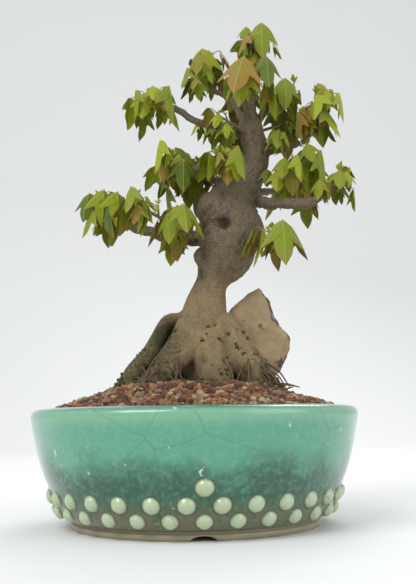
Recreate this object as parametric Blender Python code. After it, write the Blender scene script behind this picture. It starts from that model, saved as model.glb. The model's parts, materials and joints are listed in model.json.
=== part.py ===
"""Trident maple bonsai, its roots over a stone, in a round glazed drum pot.

Every size below is in millimetres, and the meshes are written in metres. +Z is up, the origin is on the
pot's axis at the underside of its foot, and the front of the tree looks along -Y.
"""

import math
import random
from dataclasses import dataclass

import bmesh
import bpy
import numpy as np
from mathutils import Vector
from mathutils.bvhtree import BVHTree

MM = 0.001
GAP = 0.3                       # clearance between one solid and its neighbour

# The pot: a drum with a foot ring, two full rows of bosses and three single ones.
POT_SIDES = 60
BOSS_TURN = math.radians(2.86)  # angle of the first boss from the front
FOOT_RADIUS = 92.0
FOOT_WIDTH = 10.5
FLOOR_UNDER = 5.0
FLOOR_TOP = 13.0
ARCH_WIDTH = 17.0
ARCH_HEIGHT = 4.2
DRAIN_RADIUS = 7.5
DRAIN_PLACE = 48.0
POT_OUTSIDE = (                 # radius and height, from the foot up to the crest of the lip
    (93.0, 3.8),
    (91.3, 5.4),
    (97.4, 7.4),
    (105.0, 18.0),
    (108.4, 28.6),
    (113.2, 40.6),
    (118.0, 55.0),
    (121.0, 69.5),
    (122.5, 79.5),
    (121.3, 83.0),
    (117.0, 85.0),
    (110.5, 85.4),
)
POT_INSIDE = (                  # from the lip's inner edge down to the floor
    (107.4, 84.0),
    (107.0, 62.0),
    (103.5, 40.0),
    (97.5, 24.0),
    (88.0, FLOOR_TOP),
)
BOSS_SIDES = 6
BOSS_CROWN = 0.62               # the middle ring of a boss, as a share of its radius
BOSS_SHOULDER = 0.74            # and its height, as a share of the boss's


@dataclass(frozen=True)
class BossRow:
    """One row of bosses: the band of the outside it sits on, its size, and every how many facets it comes."""
    band: int
    radius: float
    rise: float
    every: int
    first: int


BOSS_ROWS = (
    BossRow(band=2, radius=4.9, rise=3.4, every=2, first=0),
    BossRow(band=3, radius=5.1, rise=4.1, every=2, first=1),
    BossRow(band=4, radius=5.4, rise=4.3, every=20, first=0),
)

# The soil fills the pot, flat where the tree stands and falling to the lip.
SOIL_SIDES = 30
GROUND = 97.0
SOIL_TOP = (                    # radius and height
    (60.0, GROUND),
    (78.0, 91.0),
    (92.0, 87.5),
    (106.4, 83.6),
)

# The stone: a slab on edge behind the trunk's right side.
STONE_FRONT = -1.0
STONE_BACK = 31.0
STONE_BEVEL = 5.0
STONE_OUTLINE = (               # across and up, clockwise from the foot on the left
    (23.0, GROUND + GAP),
    (21.0, 125.0),
    (26.0, 158.0),
    (34.0, 166.0),
    (43.5, 173.5),
    (52.0, 178.0),
    (59.0, 171.0),
    (64.5, 156.0),
    (70.0, 147.5),
    (76.5, 139.5),
    (74.5, 130.0),
    (67.5, 113.0),
    (60.0, 105.5),
    (54.0, GROUND + GAP),
)

# The trunk: stations of its centre line (x, y, z) with the radius there.
TRUNK_FOOT = 88.0
TRUNK_LINE = (
    (8.0, 2.0, TRUNK_FOOT, 27.0),
    (7.0, 1.0, 118.0, 22.5),
    (7.0, 0.0, 138.0, 20.0),
    (8.0, 0.0, 154.0, 18.5),
    (10.5, 0.0, 168.0, 15.5),
    (14.6, 0.0, 182.0, 12.2),
    (18.6, 0.0, 191.0, 16.5),
    (25.0, -1.0, 201.0, 20.5),
    (28.5, -1.0, 214.0, 23.0),
    (30.0, -1.0, 226.0, 23.0),
    (30.0, 0.0, 239.0, 21.5),
    (32.5, 0.0, 251.0, 18.0),
    (41.5, 0.0, 263.0, 13.5),
    (48.5, 0.0, 275.0, 11.5),
    (52.0, 0.0, 288.0, 10.3),
    (49.5, 0.0, 302.0, 10.2),
    (47.5, 0.0, 313.0, 8.8),
    (48.0, 0.0, 322.0, 5.6),
)
BURR_SWELLINGS = (              # round swellings of the burr halfway up: centre and radius
    (20.5, -9.0, 238.0, 17.0),
    (40.0, -5.0, 224.0, 15.5),
    (32.0, 9.0, 226.0, 18.0),
    (8.0, -6.0, 201.0, 7.5),
)


@dataclass(frozen=True)
class Root:
    """A surface root: stations of its centre line from the trunk out to the soil, with the radius there."""
    line: tuple


ROOTS = (
    Root(((2, 2, 160, 9), (-10, 4, 154, 5.5), (-20, 4, 152, 6), (-28, 2, 138, 6.5), (-34, 0, 125, 8),
          (-46, -4, 111, 8), (-57, -9, TRUNK_FOOT, 9))),
    Root(((-6, 13, 148, 9), (-18, 12, 126, 11), (-30, 10, 108, 13), (-44, 6, TRUNK_FOOT, 13))),
    Root(((-2, -8, 148, 11), (-10, -13, 130, 12), (-24, -20, 110, 11), (-46, -26, TRUNK_FOOT, 8))),
    Root(((1, -14, 140, 8), (-6, -21, 125, 7), (-24, -30, 106, 7), (-52, -34, TRUNK_FOOT, 5))),
    Root(((8, -10, 138, 14), (13, -19, 118, 14), (18, -29, TRUNK_FOOT, 13))),
    Root(((18, -6, 146, 11), (32, -13, 126, 12), (44, -20, 108, 11), (56, -23, TRUNK_FOOT, 9))),
    Root(((22, -5, 154, 8), (34, -7, 134, 9), (47, -10, 114, 9), (62, -13, TRUNK_FOOT, 8))),
    Root(((14, 12, 142, 12), (20, 26, 118, 11), (26, 44, TRUNK_FOOT, 9))),
    Root(((2, 12, 142, 12), (-8, 26, 116, 11), (-18, 42, TRUNK_FOOT, 9))),
)
TRUNK_VOXEL = 2.6
TRUNK_SMOOTHING = 3
TRUNK_FACES = 1750


@dataclass(frozen=True)
class Bough:
    """One limb: the points its centre line passes from inside the trunk to its tip, and its end radii."""
    name: str
    line: tuple
    thick: float
    thin: float


BOUGHS = (
    Bough("bough_low_left", ((12, 3, 218), (-12, 9, 219), (-38, 14, 228), (-62, 14, 235)), 5.0, 3.0),
    Bough("bough_low_left_front", ((12, -16, 214), (-2, -21, 217), (-20, -27, 225)), 2.6, 1.7),
    Bough("bough_mid_left", ((38, -4, 258), (26, -12, 270), (10, -17, 271), (-4, -18, 265)), 6.0, 2.8),
    Bough("bough_upper_left", ((48, 0, 301), (30, -4, 309), (6, -10, 310), (-7, -12, 318), (-19, -12, 325)), 4.2, 1.9),
    Bough("bough_top_left", ((44, 0, 312), (33, 1, 332), (20, 1, 342)), 3.0, 1.7),
    Bough("bough_leader", ((48.5, -1, 318), (50, -2, 336), (51.5, -5, 355)), 3.8, 2.0),
    Bough("bough_crown_front", ((47, -2, 308), (44, -14, 318), (40, -22, 330)), 3.2, 1.8),
    Bough("bough_right_top", ((50, 0, 310), (62, 2, 326), (70, 3, 340)), 3.4, 1.8),
    Bough("bough_upper_right", ((50, 0, 289), (70, -1, 290), (88, -4, 295)), 3.8, 2.0),
    Bough("bough_low_right", ((42, -3, 250), (60, -10, 243), (74, -21, 240), (88, -34, 236), (98, -43, 240)), 5.4, 2.2),
    Bough("bough_low_right_under", ((42, -10, 214), (56, -22, 207), (64, -29, 206)), 3.4, 2.0),
    Bough("bough_back_low", ((32, 12, 232), (36, 30, 238), (34, 44, 242)), 4.6, 2.4),
    Bough("bough_back_right", ((40, 6, 256), (58, 22, 262), (72, 34, 266)), 4.2, 2.2),
    Bough("bough_back_left", ((40, 4, 264), (20, 20, 272), (4, 32, 274)), 4.0, 2.2),
    Bough("bough_back_upper", ((48, 2, 296), (48, 20, 304), (46, 34, 312)), 3.6, 2.0),
)
BOUGH_SIDES = 6
BOUGH_STEP = 9.0                # length between two rings of a bough
BOUGH_KNOTS = 0.10              # how far its thickness wanders, as a share


@dataclass(frozen=True)
class Mass:
    """A mass of foliage: the limb that carries it, the middle and radius of its space, and its leaves."""
    name: str
    host: str
    heart: tuple
    radius: float
    shoots: int
    leaf: tuple
    seed: int
    start: tuple = ()


MASSES = (
    Mass("leaves_low_left_tip", "bough_low_left", (-72, 11, 238), 26, 5, (12, 34), 1311),
    Mass("leaves_low_left_front", "bough_low_left_front", (-40, -30, 230), 20, 3, (15, 30), 1278),
    Mass("leaves_low_left_inner", "trunk", (-12, -22, 211), 27, 3, (18, 42), 1601, (10, -12, 224)),
    Mass("leaves_mid_left", "bough_mid_left", (-16, -17, 271), 21, 4, (12, 32), 1709),
    Mass("leaves_mid_left_inner", "trunk", (1, 4, 265), 23, 5, (14, 28), 1830, (34, 4, 260)),
    Mass("leaves_front_centre", "trunk", (27, -30, 263), 19, 3, (20, 36), 1773, (38, -4, 262)),
    Mass("leaves_upper_left", "bough_upper_left", (-29, -9, 309), 28, 6, (14, 36), 852),
    Mass("leaves_upper_left_inner", "trunk", (23, -16, 304), 17, 3, (14, 28), 1845, (46, -4, 302)),
    Mass("leaves_top_left", "bough_top_left", (10, 2, 352), 25, 5, (15, 32), 147),
    Mass("leaves_apex", "bough_leader", (55, -8, 367), 22, 5, (16, 34), 702),
    Mass("leaves_crown_front", "bough_crown_front", (44, -32, 323), 26, 5, (18, 40), 88),
    Mass("leaves_right_top", "bough_right_top", (74, 2, 323), 27, 6, (18, 42), 788),
    Mass("leaves_upper_right", "bough_upper_right", (99, -8, 312), 26, 6, (14, 36), 183),
    Mass("leaves_right_under", "trunk", (67, -14, 288), 13, 2, (14, 26), 2531, (52, -2, 284)),
    Mass("leaves_low_right_inner", "trunk", (84, -12, 258), 25, 5, (18, 40), 607, (46, -2, 256)),
    Mass("leaves_low_right_tip", "bough_low_right", (110, -44, 241), 17, 3, (13, 28), 2145),
    Mass("leaves_low_right_under", "bough_low_right_under", (61, -34, 196), 23, 4, (20, 42), 1970),
    Mass("leaves_back_low", "bough_back_low", (26, 58, 239), 26, 5, (16, 38), 146),
    Mass("leaves_back_right", "bough_back_right", (91, 42, 258), 26, 5, (16, 38), 1541),
    Mass("leaves_back_left", "bough_back_left", (-7, 42, 280), 26, 5, (16, 38), 373),
    Mass("leaves_back_upper", "bough_back_upper", (36, 52, 302), 26, 5, (16, 38), 2374),
    Mass("leaves_back_upper_left", "trunk", (14, 36, 315), 20, 4, (16, 34), 2212, (46, 4, 306)),
    Mass("leaves_back_upper_right", "trunk", (92, 36, 322), 20, 4, (16, 34), 894, (50, 4, 306)),
    Mass("leaves_back_top", "trunk", (45, 26, 342), 23, 4, (16, 34), 1893, (48, 3, 318)),
)
SMALLEST_SOLID = 18.0           # leaves shorter than this are left to finer work
WIDEST = 122.0                  # how far leaves may stand from the pot's axis, across and in depth
SPACE_REACH = 1.5               # how far leaves may stand from the heart, as a share of its radius
STEM_LIFT = 0.5                 # how far a stem passes over the heart of its mass, as a share of its radius
TWIG_THICK = 1.1                # radius of a mass's stem where its host is the trunk
TWIG_THIN = 0.95                # radius at the end of a stem or shoot
STEM_LEAD = 1.6                 # a stem first runs on straight from its bough's tip
STALK_THICK = 0.5              # radius of a leaf's stalk
STALK_APART = 1.7               # how far apart the stalks of a pair leave their twig
STALK_SIDES = 3
CELL_GAP = 0.25                 # what each mass keeps to the plane between it and the next
LIMB_GAP = 0.9                  # and what its leaves keep to a limb
LEAF_GAP = 1.2                  # and to each other
TRIES = 9                       # places a leaf tries before it is left out
PAIR_TURN = math.radians(90)    # pairs of leaves stand crosswise
SHOOT_TURN = math.radians(137.5)

# The leaf: half its outline, along and across, as shares of its length.
LEAF_HALF = (
    (0.10, 0.24),
    (0.55, 0.47),
    (0.47, 0.20),
)
LEAF_MIDDLE = 0.32              # where its three ribs part
LEAF_FOLD = 0.50                # how far its sides hang, as a share of their width
LEAF_CURL = 0.16                # how far its tip curls under
LEAF_THICK = 0.035              # thickness at the middle, as a share of its length


def clear_scene():
    """Takes every object out of the scene."""
    for old in list(bpy.data.objects):
        bpy.data.objects.remove(old, do_unlink=True)


def material(name, colour, roughness, metallic=0.0):
    """A plain Principled material."""
    made = bpy.data.materials.new(name)
    made.use_nodes = True
    shader = made.node_tree.nodes["Principled BSDF"]
    shader.inputs["Base Color"].default_value = (*colour, 1.0)
    shader.inputs["Roughness"].default_value = roughness
    shader.inputs["Metallic"].default_value = metallic
    return made


def mesh_object(name, shape, finish=None):
    """An object in the scene from a shape, which is (points in millimetres, faces)."""
    points, faces = shape
    mesh = bpy.data.meshes.new(name)
    mesh.from_pydata([Vector(p) * MM for p in points], [], faces)
    mesh.validate()
    made = bpy.data.objects.new(name, mesh)
    bpy.context.scene.collection.objects.link(made)
    if finish:
        mesh.materials.append(finish)
    return made


def apply_modifiers(obj):
    """Puts the mesh that the modifiers make in place of the object's own."""
    graph = bpy.context.evaluated_depsgraph_get()
    graph.update()
    made = bpy.data.meshes.new_from_object(obj.evaluated_get(graph), depsgraph=graph)
    obj.modifiers.clear()
    old = obj.data
    obj.data = made
    bpy.data.meshes.remove(old)


def boolean(obj, tools, operation):
    """Cuts the tools from the object or fuses them to it, and removes them."""
    group = bpy.data.collections.new("tools")
    bpy.context.scene.collection.children.link(group)
    for tool in tools:
        bpy.context.scene.collection.objects.unlink(tool)
        group.objects.link(tool)
    step = obj.modifiers.new("step", "BOOLEAN")
    step.operation = operation
    step.operand_type = "COLLECTION"
    step.collection = group
    step.solver = "EXACT"
    apply_modifiers(obj)
    for tool in tools:
        bpy.data.objects.remove(tool, do_unlink=True)
    bpy.data.collections.remove(group)


def copy_of(obj, grown=0.0):
    """A copy of the object's mesh, its surface moved outwards by so many millimetres."""
    twin = bpy.data.objects.new(obj.name + "_copy", obj.data.copy())
    bpy.context.scene.collection.objects.link(twin)
    if grown:
        shape = bmesh.new()
        shape.from_mesh(twin.data)
        bmesh.ops.triangulate(shape, faces=shape.faces[:])
        shape.normal_update()
        moves = [v.normal * v.calc_shell_factor() * grown * MM for v in shape.verts]
        for vert, move in zip(shape.verts, moves):
            vert.co += move
        shape.to_mesh(twin.data)
        shape.free()
    return twin


def keep_main_shell(obj):
    """Drops every loose scrap, and the inner skin of a sealed hollow, which fills it."""
    shape = bmesh.new()
    shape.from_mesh(obj.data)
    left = set(shape.verts)
    shells = []
    while left:
        front = [left.pop()]
        shell = set(front)
        while front:
            for edge in front.pop().link_edges:
                for vert in edge.verts:
                    if vert in left:
                        left.remove(vert)
                        shell.add(vert)
                        front.append(vert)
        shells.append(shell)
    shells.sort(key=len)
    loose = [vert for shell in shells[:-1] for vert in shell]
    bmesh.ops.delete(shape, geom=loose, context="VERTS")
    shape.to_mesh(obj.data)
    shape.free()


def smooth_line(points, step):
    """Points a step apart along a curve through the given points, which may hold a radius after x, y and z."""
    knots = [np.array(p, float) for p in points]
    knots = [2 * knots[0] - knots[1], *knots, 2 * knots[-1] - knots[-2]]
    line = []
    for a, b, c, d in zip(knots, knots[1:], knots[2:], knots[3:]):
        count = max(1, round(float(np.linalg.norm((c - b)[:3])) / step))
        for i in range(count):
            t = i / count
            line.append(0.5 * (2 * b + (c - a) * t + (2 * a - 5 * b + 4 * c - d) * t ** 2
                               + (3 * b - a - 3 * c + d) * t ** 3))
    return [*line, knots[-2]]


def tube(line, sides):
    """A closed tube round a line of (x, y, z, radius)."""
    centres = [Vector(p[:3]) for p in line]
    points = []
    across = None
    for i, centre in enumerate(centres):
        along = (centres[min(i + 1, len(centres) - 1)] - centres[max(i - 1, 0)]).normalized()
        if across is None:
            across = along.orthogonal()
        across = (across - along * across.dot(along)).normalized()
        other = along.cross(across)
        for k in range(sides):
            turn = 2 * math.pi * k / sides
            points.append(centre + (across * math.cos(turn) + other * math.sin(turn)) * line[i][3])
    faces = [tuple(reversed(range(sides)))]
    for i in range(len(centres) - 1):
        for k in range(sides):
            a, b = i * sides + k, i * sides + (k + 1) % sides
            faces.append((a, b, b + sides, a + sides))
    last = (len(centres) - 1) * sides
    faces.append(tuple(range(last, last + sides)))
    return points, faces


def ball(centre, radius, rings=8):
    """A closed ball."""
    line = []
    for i in range(1, rings):
        turn = math.pi * i / rings
        line.append((centre[0], centre[1], centre[2] - radius * math.cos(turn), radius * math.sin(turn)))
    return tube(line, 2 * rings)


def joined(shapes):
    """Several shapes as one list of points and faces."""
    points = []
    faces = []
    for some_points, some_faces in shapes:
        start = len(points)
        points.extend(some_points)
        faces.extend(tuple(i + start for i in face) for face in some_faces)
    return points, faces


def turned(profile, sides, first_turn):
    """A solid turned from a profile of (radius, height) that starts and ends on the axis."""
    points = [Vector((0, 0, profile[0][1]))]
    for radius, height in profile[1:-1]:
        for k in range(sides):
            turn = first_turn + 2 * math.pi * k / sides
            points.append(Vector((radius * math.sin(turn), -radius * math.cos(turn), height)))
    points.append(Vector((0, 0, profile[-1][1])))
    rows = len(profile) - 2
    faces = []
    for k in range(sides):
        after = (k + 1) % sides
        faces.append((0, 1 + after, 1 + k))
        for row in range(rows - 1):
            low, high = 1 + row * sides, 1 + (row + 1) * sides
            faces.append((low + k, low + after, high + after, high + k))
        top = 1 + (rows - 1) * sides
        faces.append((top + k, top + after, len(points) - 1))
    return points, faces


def add_boss(points, faces, face, row):
    """Puts a boss in place of one facet of the pot: a ring in the facet, a smaller raised ring, and a crown."""
    corners = [points[i] for i in face]
    middle = sum(corners, Vector()) / len(corners)
    right = (corners[1] - corners[0]).normalized()
    out = right.cross(corners[3] - corners[0]).normalized()
    up = out.cross(right)
    start = len(points)
    for share, rise in ((1.0, 0.0), (BOSS_CROWN, BOSS_SHOULDER)):
        for k in range(BOSS_SIDES):
            turn = 2 * math.pi * (k + 0.5) / BOSS_SIDES - math.pi / 2
            side = right * math.cos(turn) + up * math.sin(turn)
            points.append(middle + side * row.radius * share + out * row.rise * rise)
    points.append(middle + out * row.rise)
    crown = len(points) - 1
    ring = [start + k for k in range(BOSS_SIDES)]
    # The ring starts at the lower right corner and runs towards the upper right one.
    a, b, c, d = face
    faces.extend([
        (a, b, ring[0], ring[5]),
        (b, ring[1], ring[0]),
        (b, c, ring[1]),
        (c, ring[2], ring[1]),
        (c, d, ring[3], ring[2]),
        (d, ring[4], ring[3]),
        (d, a, ring[4]),
        (a, ring[5], ring[4]),
    ])
    for k in range(BOSS_SIDES):
        after = (k + 1) % BOSS_SIDES
        high, high_after = ring[k] + BOSS_SIDES, ring[after] + BOSS_SIDES
        faces.append((ring[k], ring[after], high_after, high))
        faces.append((high, high_after, crown))


def pot_shape():
    """The turned pot with its bosses, before the foot is cut."""
    facet = 2 * math.pi / POT_SIDES
    inner_foot = FOOT_RADIUS - FOOT_WIDTH
    under = ((0, FLOOR_UNDER), (inner_foot, FLOOR_UNDER), (inner_foot, 0), (FOOT_RADIUS, 0))
    points, faces = turned((*under, *POT_OUTSIDE, *POT_INSIDE, (0, FLOOR_TOP)), POT_SIDES, BOSS_TURN - facet / 2)
    rows = len(under) + len(POT_OUTSIDE) + len(POT_INSIDE) - 1
    faces_a_side = rows + 1
    first_band = len(under)
    replaced = {}
    for row in BOSS_ROWS:
        for k in range(row.first, POT_SIDES, row.every):
            replaced[k * faces_a_side + first_band + row.band] = row
    made = [face for i, face in enumerate(faces) if i not in replaced]
    for i, row in replaced.items():
        add_boss(points, made, faces[i], row)
    return points, made


def pot(finish):
    """The pot, with three arches cut through its foot ring and three drain holes through its floor."""
    made = mesh_object("pot", pot_shape(), finish)
    tools = []
    for k in range(3):
        turn = BOSS_TURN + 2 * math.pi * k / 3
        out = Vector((math.sin(turn), -math.cos(turn), 0))
        side = Vector((out.y, -out.x, 0))
        arch = []
        for place in (FOOT_RADIUS - FOOT_WIDTH - 4, FOOT_RADIUS + 4):
            for i in range(9):
                lift = math.pi * i / 8
                across = side * ARCH_WIDTH / 2 * math.cos(lift)
                arch.append(out * place + across + Vector((0, 0, ARCH_HEIGHT * math.sin(lift))))
            arch.append(out * place + side * -ARCH_WIDTH / 2 + Vector((0, 0, -2)))
            arch.append(out * place + side * ARCH_WIDTH / 2 + Vector((0, 0, -2)))
        ends = len(arch) // 2
        faces = [tuple(range(ends)), tuple(reversed(range(ends, 2 * ends)))]
        faces += [(i, i + ends, (i + 1) % ends + ends, (i + 1) % ends) for i in range(ends)]
        tools.append(mesh_object("arch", (arch, faces)))
        drain = out * -DRAIN_PLACE
        line = [(drain.x, drain.y, height, DRAIN_RADIUS) for height in (FLOOR_UNDER - 3, FLOOR_TOP + 3)]
        tools.append(mesh_object("drain", tube(line, 12)))
    for tool in tools:
        face_out(tool)
    boolean(made, tools, "DIFFERENCE")
    return made


def face_out(obj):
    """Turns the faces of a closed mesh outwards."""
    shape = bmesh.new()
    shape.from_mesh(obj.data)
    bmesh.ops.recalc_face_normals(shape, faces=shape.faces[:])
    shape.to_mesh(obj.data)
    shape.free()


def soil(finish):
    """The soil, inside the pot and flat on top under the tree."""
    wall = [(radius - GAP, height) for radius, height in reversed(POT_INSIDE[1:])]
    wall[0] = (wall[0][0], FLOOR_TOP + GAP)
    profile = [(0, FLOOR_TOP + GAP), *wall, *reversed(SOIL_TOP), (0, GROUND)]
    facet = 2 * math.pi / SOIL_SIDES
    return mesh_object("soil", turned(profile, SOIL_SIDES, BOSS_TURN - facet / 4), finish)


def stone(finish):
    """The stone: a slab cut from its outline, with broken edges all round."""
    count = len(STONE_OUTLINE)
    middle = Vector((sum(p[0] for p in STONE_OUTLINE), 0, sum(p[1] for p in STONE_OUTLINE))) / count
    rough = random.Random("stone")
    points = []
    for depth, inset in ((STONE_FRONT, STONE_BEVEL), (STONE_FRONT + 6, 0.0), (STONE_BACK - 9, 0.0),
                         (STONE_BACK, STONE_BEVEL * 1.8)):
        for x, z in STONE_OUTLINE:
            on_ground = z < GROUND + 1
            edge = Vector((x, 0, z))
            place = edge + (middle - edge).normalized() * (inset + rough.uniform(-0.8, 0.8))
            points.append(Vector((place.x, depth + rough.uniform(-1, 1), z if on_ground else place.z)))
    faces = []
    for ring in range(3):
        for k in range(count):
            a, b = ring * count + k, ring * count + (k + 1) % count
            faces.append((a, a + count, b + count, b))
    for ring, order in ((0, 1), (3, -1)):
        centre = sum(points[ring * count:(ring + 1) * count], Vector()) / count
        points.append(centre)
        rim = [ring * count + k for k in range(count)][::order]
        faces += [(rim[k], rim[(k + 1) % count], len(points) - 1) for k in range(count)]
    made = mesh_object("stone", (points, faces), finish)
    face_out(made)
    return made


def trunk(finish, rock):
    """The trunk with its burr and roots, cut flat at the ground and fitted round the stone."""
    shapes = [tube(smooth_line(TRUNK_LINE, 6), 16)]
    shapes += [tube(smooth_line(root.line, 5), 12) for root in ROOTS]
    shapes += [ball(swelling[:3], swelling[3]) for swelling in BURR_SWELLINGS]
    made = mesh_object("trunk", joined(shapes), finish)
    face_out(made)
    skin = made.modifiers.new("skin", "REMESH")
    skin.mode = "VOXEL"
    skin.voxel_size = TRUNK_VOXEL * MM
    ease = made.modifiers.new("ease", "SMOOTH")
    ease.factor = 0.5
    ease.iterations = TRUNK_SMOOTHING
    apply_modifiers(made)
    thin = made.modifiers.new("thin", "DECIMATE")
    thin.ratio = TRUNK_FACES / (2 * len(made.data.polygons))
    apply_modifiers(made)
    below = mesh_object("ground", box((-150, -150, 0), (150, 150, GROUND + GAP)))
    boolean(made, [below], "DIFFERENCE")
    boolean(made, [copy_of(rock, GAP)], "DIFFERENCE")
    keep_main_shell(made)
    made.data.materials.clear()
    made.data.materials.append(finish)
    return made


def box(low, high):
    """A box between two corners."""
    points = [Vector((x, y, z)) for z in (low[2], high[2]) for y in (low[1], high[1]) for x in (low[0], high[0])]
    faces = [(0, 2, 3, 1), (4, 5, 7, 6), (0, 1, 5, 4), (2, 6, 7, 3), (0, 4, 6, 2), (1, 3, 7, 5)]
    return points, faces


def bough_line(bough):
    """The bough's centre line with its radius, which tapers and swells a little at knots."""
    line = smooth_line(bough.line, BOUGH_STEP)
    knots = random.Random(bough.name)
    last = len(line) - 1
    made = []
    for i, point in enumerate(line):
        radius = bough.thick + (bough.thin - bough.thick) * i / last
        if 0 < i < last:
            radius *= 1 + knots.uniform(-BOUGH_KNOTS, BOUGH_KNOTS)
        made.append((point[0], point[1], point[2], radius))
    return made


def limb_lines():
    """The centre lines of all limbs, by name, as (x, y, z, radius)."""
    lines = {bough.name: bough_line(bough) for bough in BOUGHS}
    lines["trunk"] = smooth_line(TRUNK_LINE, 6)
    for i, root in enumerate(ROOTS):
        lines[f"trunk.root_{i}"] = smooth_line(root.line, 6)
    for i, (x, y, z, radius) in enumerate(BURR_SWELLINGS):
        lines[f"trunk.burr_{i}"] = [(x, y, z - 1, radius), (x, y, z + 1, radius)]
    return lines


class Limbs:
    """All limbs as tapering segments, to keep twigs and leaves clear of them."""

    def __init__(self, lines):
        starts = []
        ends = []
        names = []
        for name, line in lines.items():
            for a, b in zip(line, line[1:]):
                starts.append(a)
                ends.append(b)
                names.append(name.split(".")[0])
        self.starts = np.array(starts, float)
        self.ends = np.array(ends, float)
        self.names = np.array(names)

    def clearance(self, points, without=""):
        """The least distance from any of the points to the surface of any limb but one."""
        use = self.names != without
        a, b = self.starts[use], self.ends[use]
        run = b[:, :3] - a[:, :3]
        p = np.asarray(points, float)[:, None, :]
        share = ((p - a[None, :, :3]) * run).sum(2) / np.maximum((run * run).sum(1), 1e-9)
        share = np.clip(share, 0, 1)
        nearest = a[None, :, :3] + share[:, :, None] * run
        radius = a[None, :, 3] + share * (b[:, 3] - a[:, 3])
        return float((np.linalg.norm(p - nearest, axis=2) - radius).min())


class Space:
    """The space that one mass keeps to: a ball round its heart, cut by the planes to the other masses."""

    def __init__(self, mass, masses):
        self.heart = np.array(mass.heart, float)
        self.radius = mass.radius
        others = [other for other in masses if other.name != mass.name]
        hearts = np.array([other.heart for other in others], float)
        away = hearts - self.heart
        far = np.linalg.norm(away, axis=1)
        self.normals = away / far[:, None]
        weights = np.array([other.radius ** 2 for other in others])
        self.limits = (far ** 2 + mass.radius ** 2 - weights) / (2 * far) - CELL_GAP

    def holds(self, points, margin=0.0):
        """Whether every point lies inside, by a margin."""
        points = np.asarray(points, float)
        away = points - self.heart
        if np.linalg.norm(away, axis=1).max() > self.radius * SPACE_REACH - margin:
            return False
        if np.abs(points[:, :2]).max() > WIDEST:
            return False
        return bool((away @ self.normals.T <= self.limits - margin).all())


@dataclass(frozen=True)
class Leaf:
    """A leaf: where its stalk starts, where its blade starts, the way the blade runs, its upper side, its length."""
    root: Vector
    base: Vector
    along: Vector
    up: Vector
    length: float


def leaf_points(leaf):
    """The points of the blade: its outline from the base round, and the upper and lower middle points."""
    across = leaf.along.cross(leaf.up).normalized()
    length = leaf.length

    def place(along, side, lift=0.0):
        sink = LEAF_FOLD * abs(side) + LEAF_CURL * along ** 2
        return leaf.base + (leaf.along * along + across * side + leaf.up * (lift - sink)) * length

    right = [place(along, side) for along, side in LEAF_HALF]
    left = [place(along, -side) for along, side in reversed(LEAF_HALF)]
    outline = [*right, place(1.0, 0.0), *left]
    return outline, place(LEAF_MIDDLE, 0.0, LEAF_THICK / 2), place(LEAF_MIDDLE, 0.0, -LEAF_THICK / 2)


def leaf_samples(leaf):
    """Points spread over the blade and the outer part of the stalk, to test what they come near."""
    outline, top, _ = leaf_points(leaf)
    ring = [leaf.base, *outline]
    samples = [leaf.root.lerp(leaf.base, share) for share in (0.5, 0.75, 1.0)]
    samples.append(top)
    for a, b in zip(ring, ring[1:] + ring[:1]):
        for share in (0.35, 0.7, 1.0):
            for turn in (0.0, 0.33, 0.67):
                samples.append(top + (a.lerp(b, turn) - top) * share)
    return [tuple(p) for p in samples]


def leaf_shape(leaf):
    """The leaf with its stalk as one closed shape, mitred where the stalk bends over into the blade."""
    outline, top, bottom = leaf_points(leaf)
    across = leaf.along.cross(leaf.up).normalized()
    run = (leaf.base - leaf.root).normalized()
    over = across.cross(run).normalized()
    points = []
    for place, lift in ((leaf.root, over), (leaf.base, (over + leaf.up).normalized())):
        for side, rise in ((0.0, 1.0), (0.87, -0.5), (-0.87, -0.5)):
            points.append(place + (across * side + lift * rise) * STALK_THICK)
    first = len(points)
    points += outline + [top, bottom]
    last = first + len(outline) - 1
    high, low = last + 1, last + 2
    faces = [(0, 2, 1), (0, 1, 4, 3), (1, 2, 5, 4), (2, 0, 3, 5)]
    for k in range(first, last):
        faces.append((k, high, k + 1))
        faces.append((k + 1, low, k))
    faces += [(4, high, first), (3, high, 4), (5, high, 3), (last, high, 5)]
    faces += [(first, low, 4), (4, low, 5), (5, low, last)]
    return points, faces


def turned_about(vector, axis, angle):
    """The vector turned about the axis."""
    return (vector * math.cos(angle) + axis.cross(vector) * math.sin(angle)
            + axis * axis.dot(vector) * (1 - math.cos(angle)))


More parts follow.
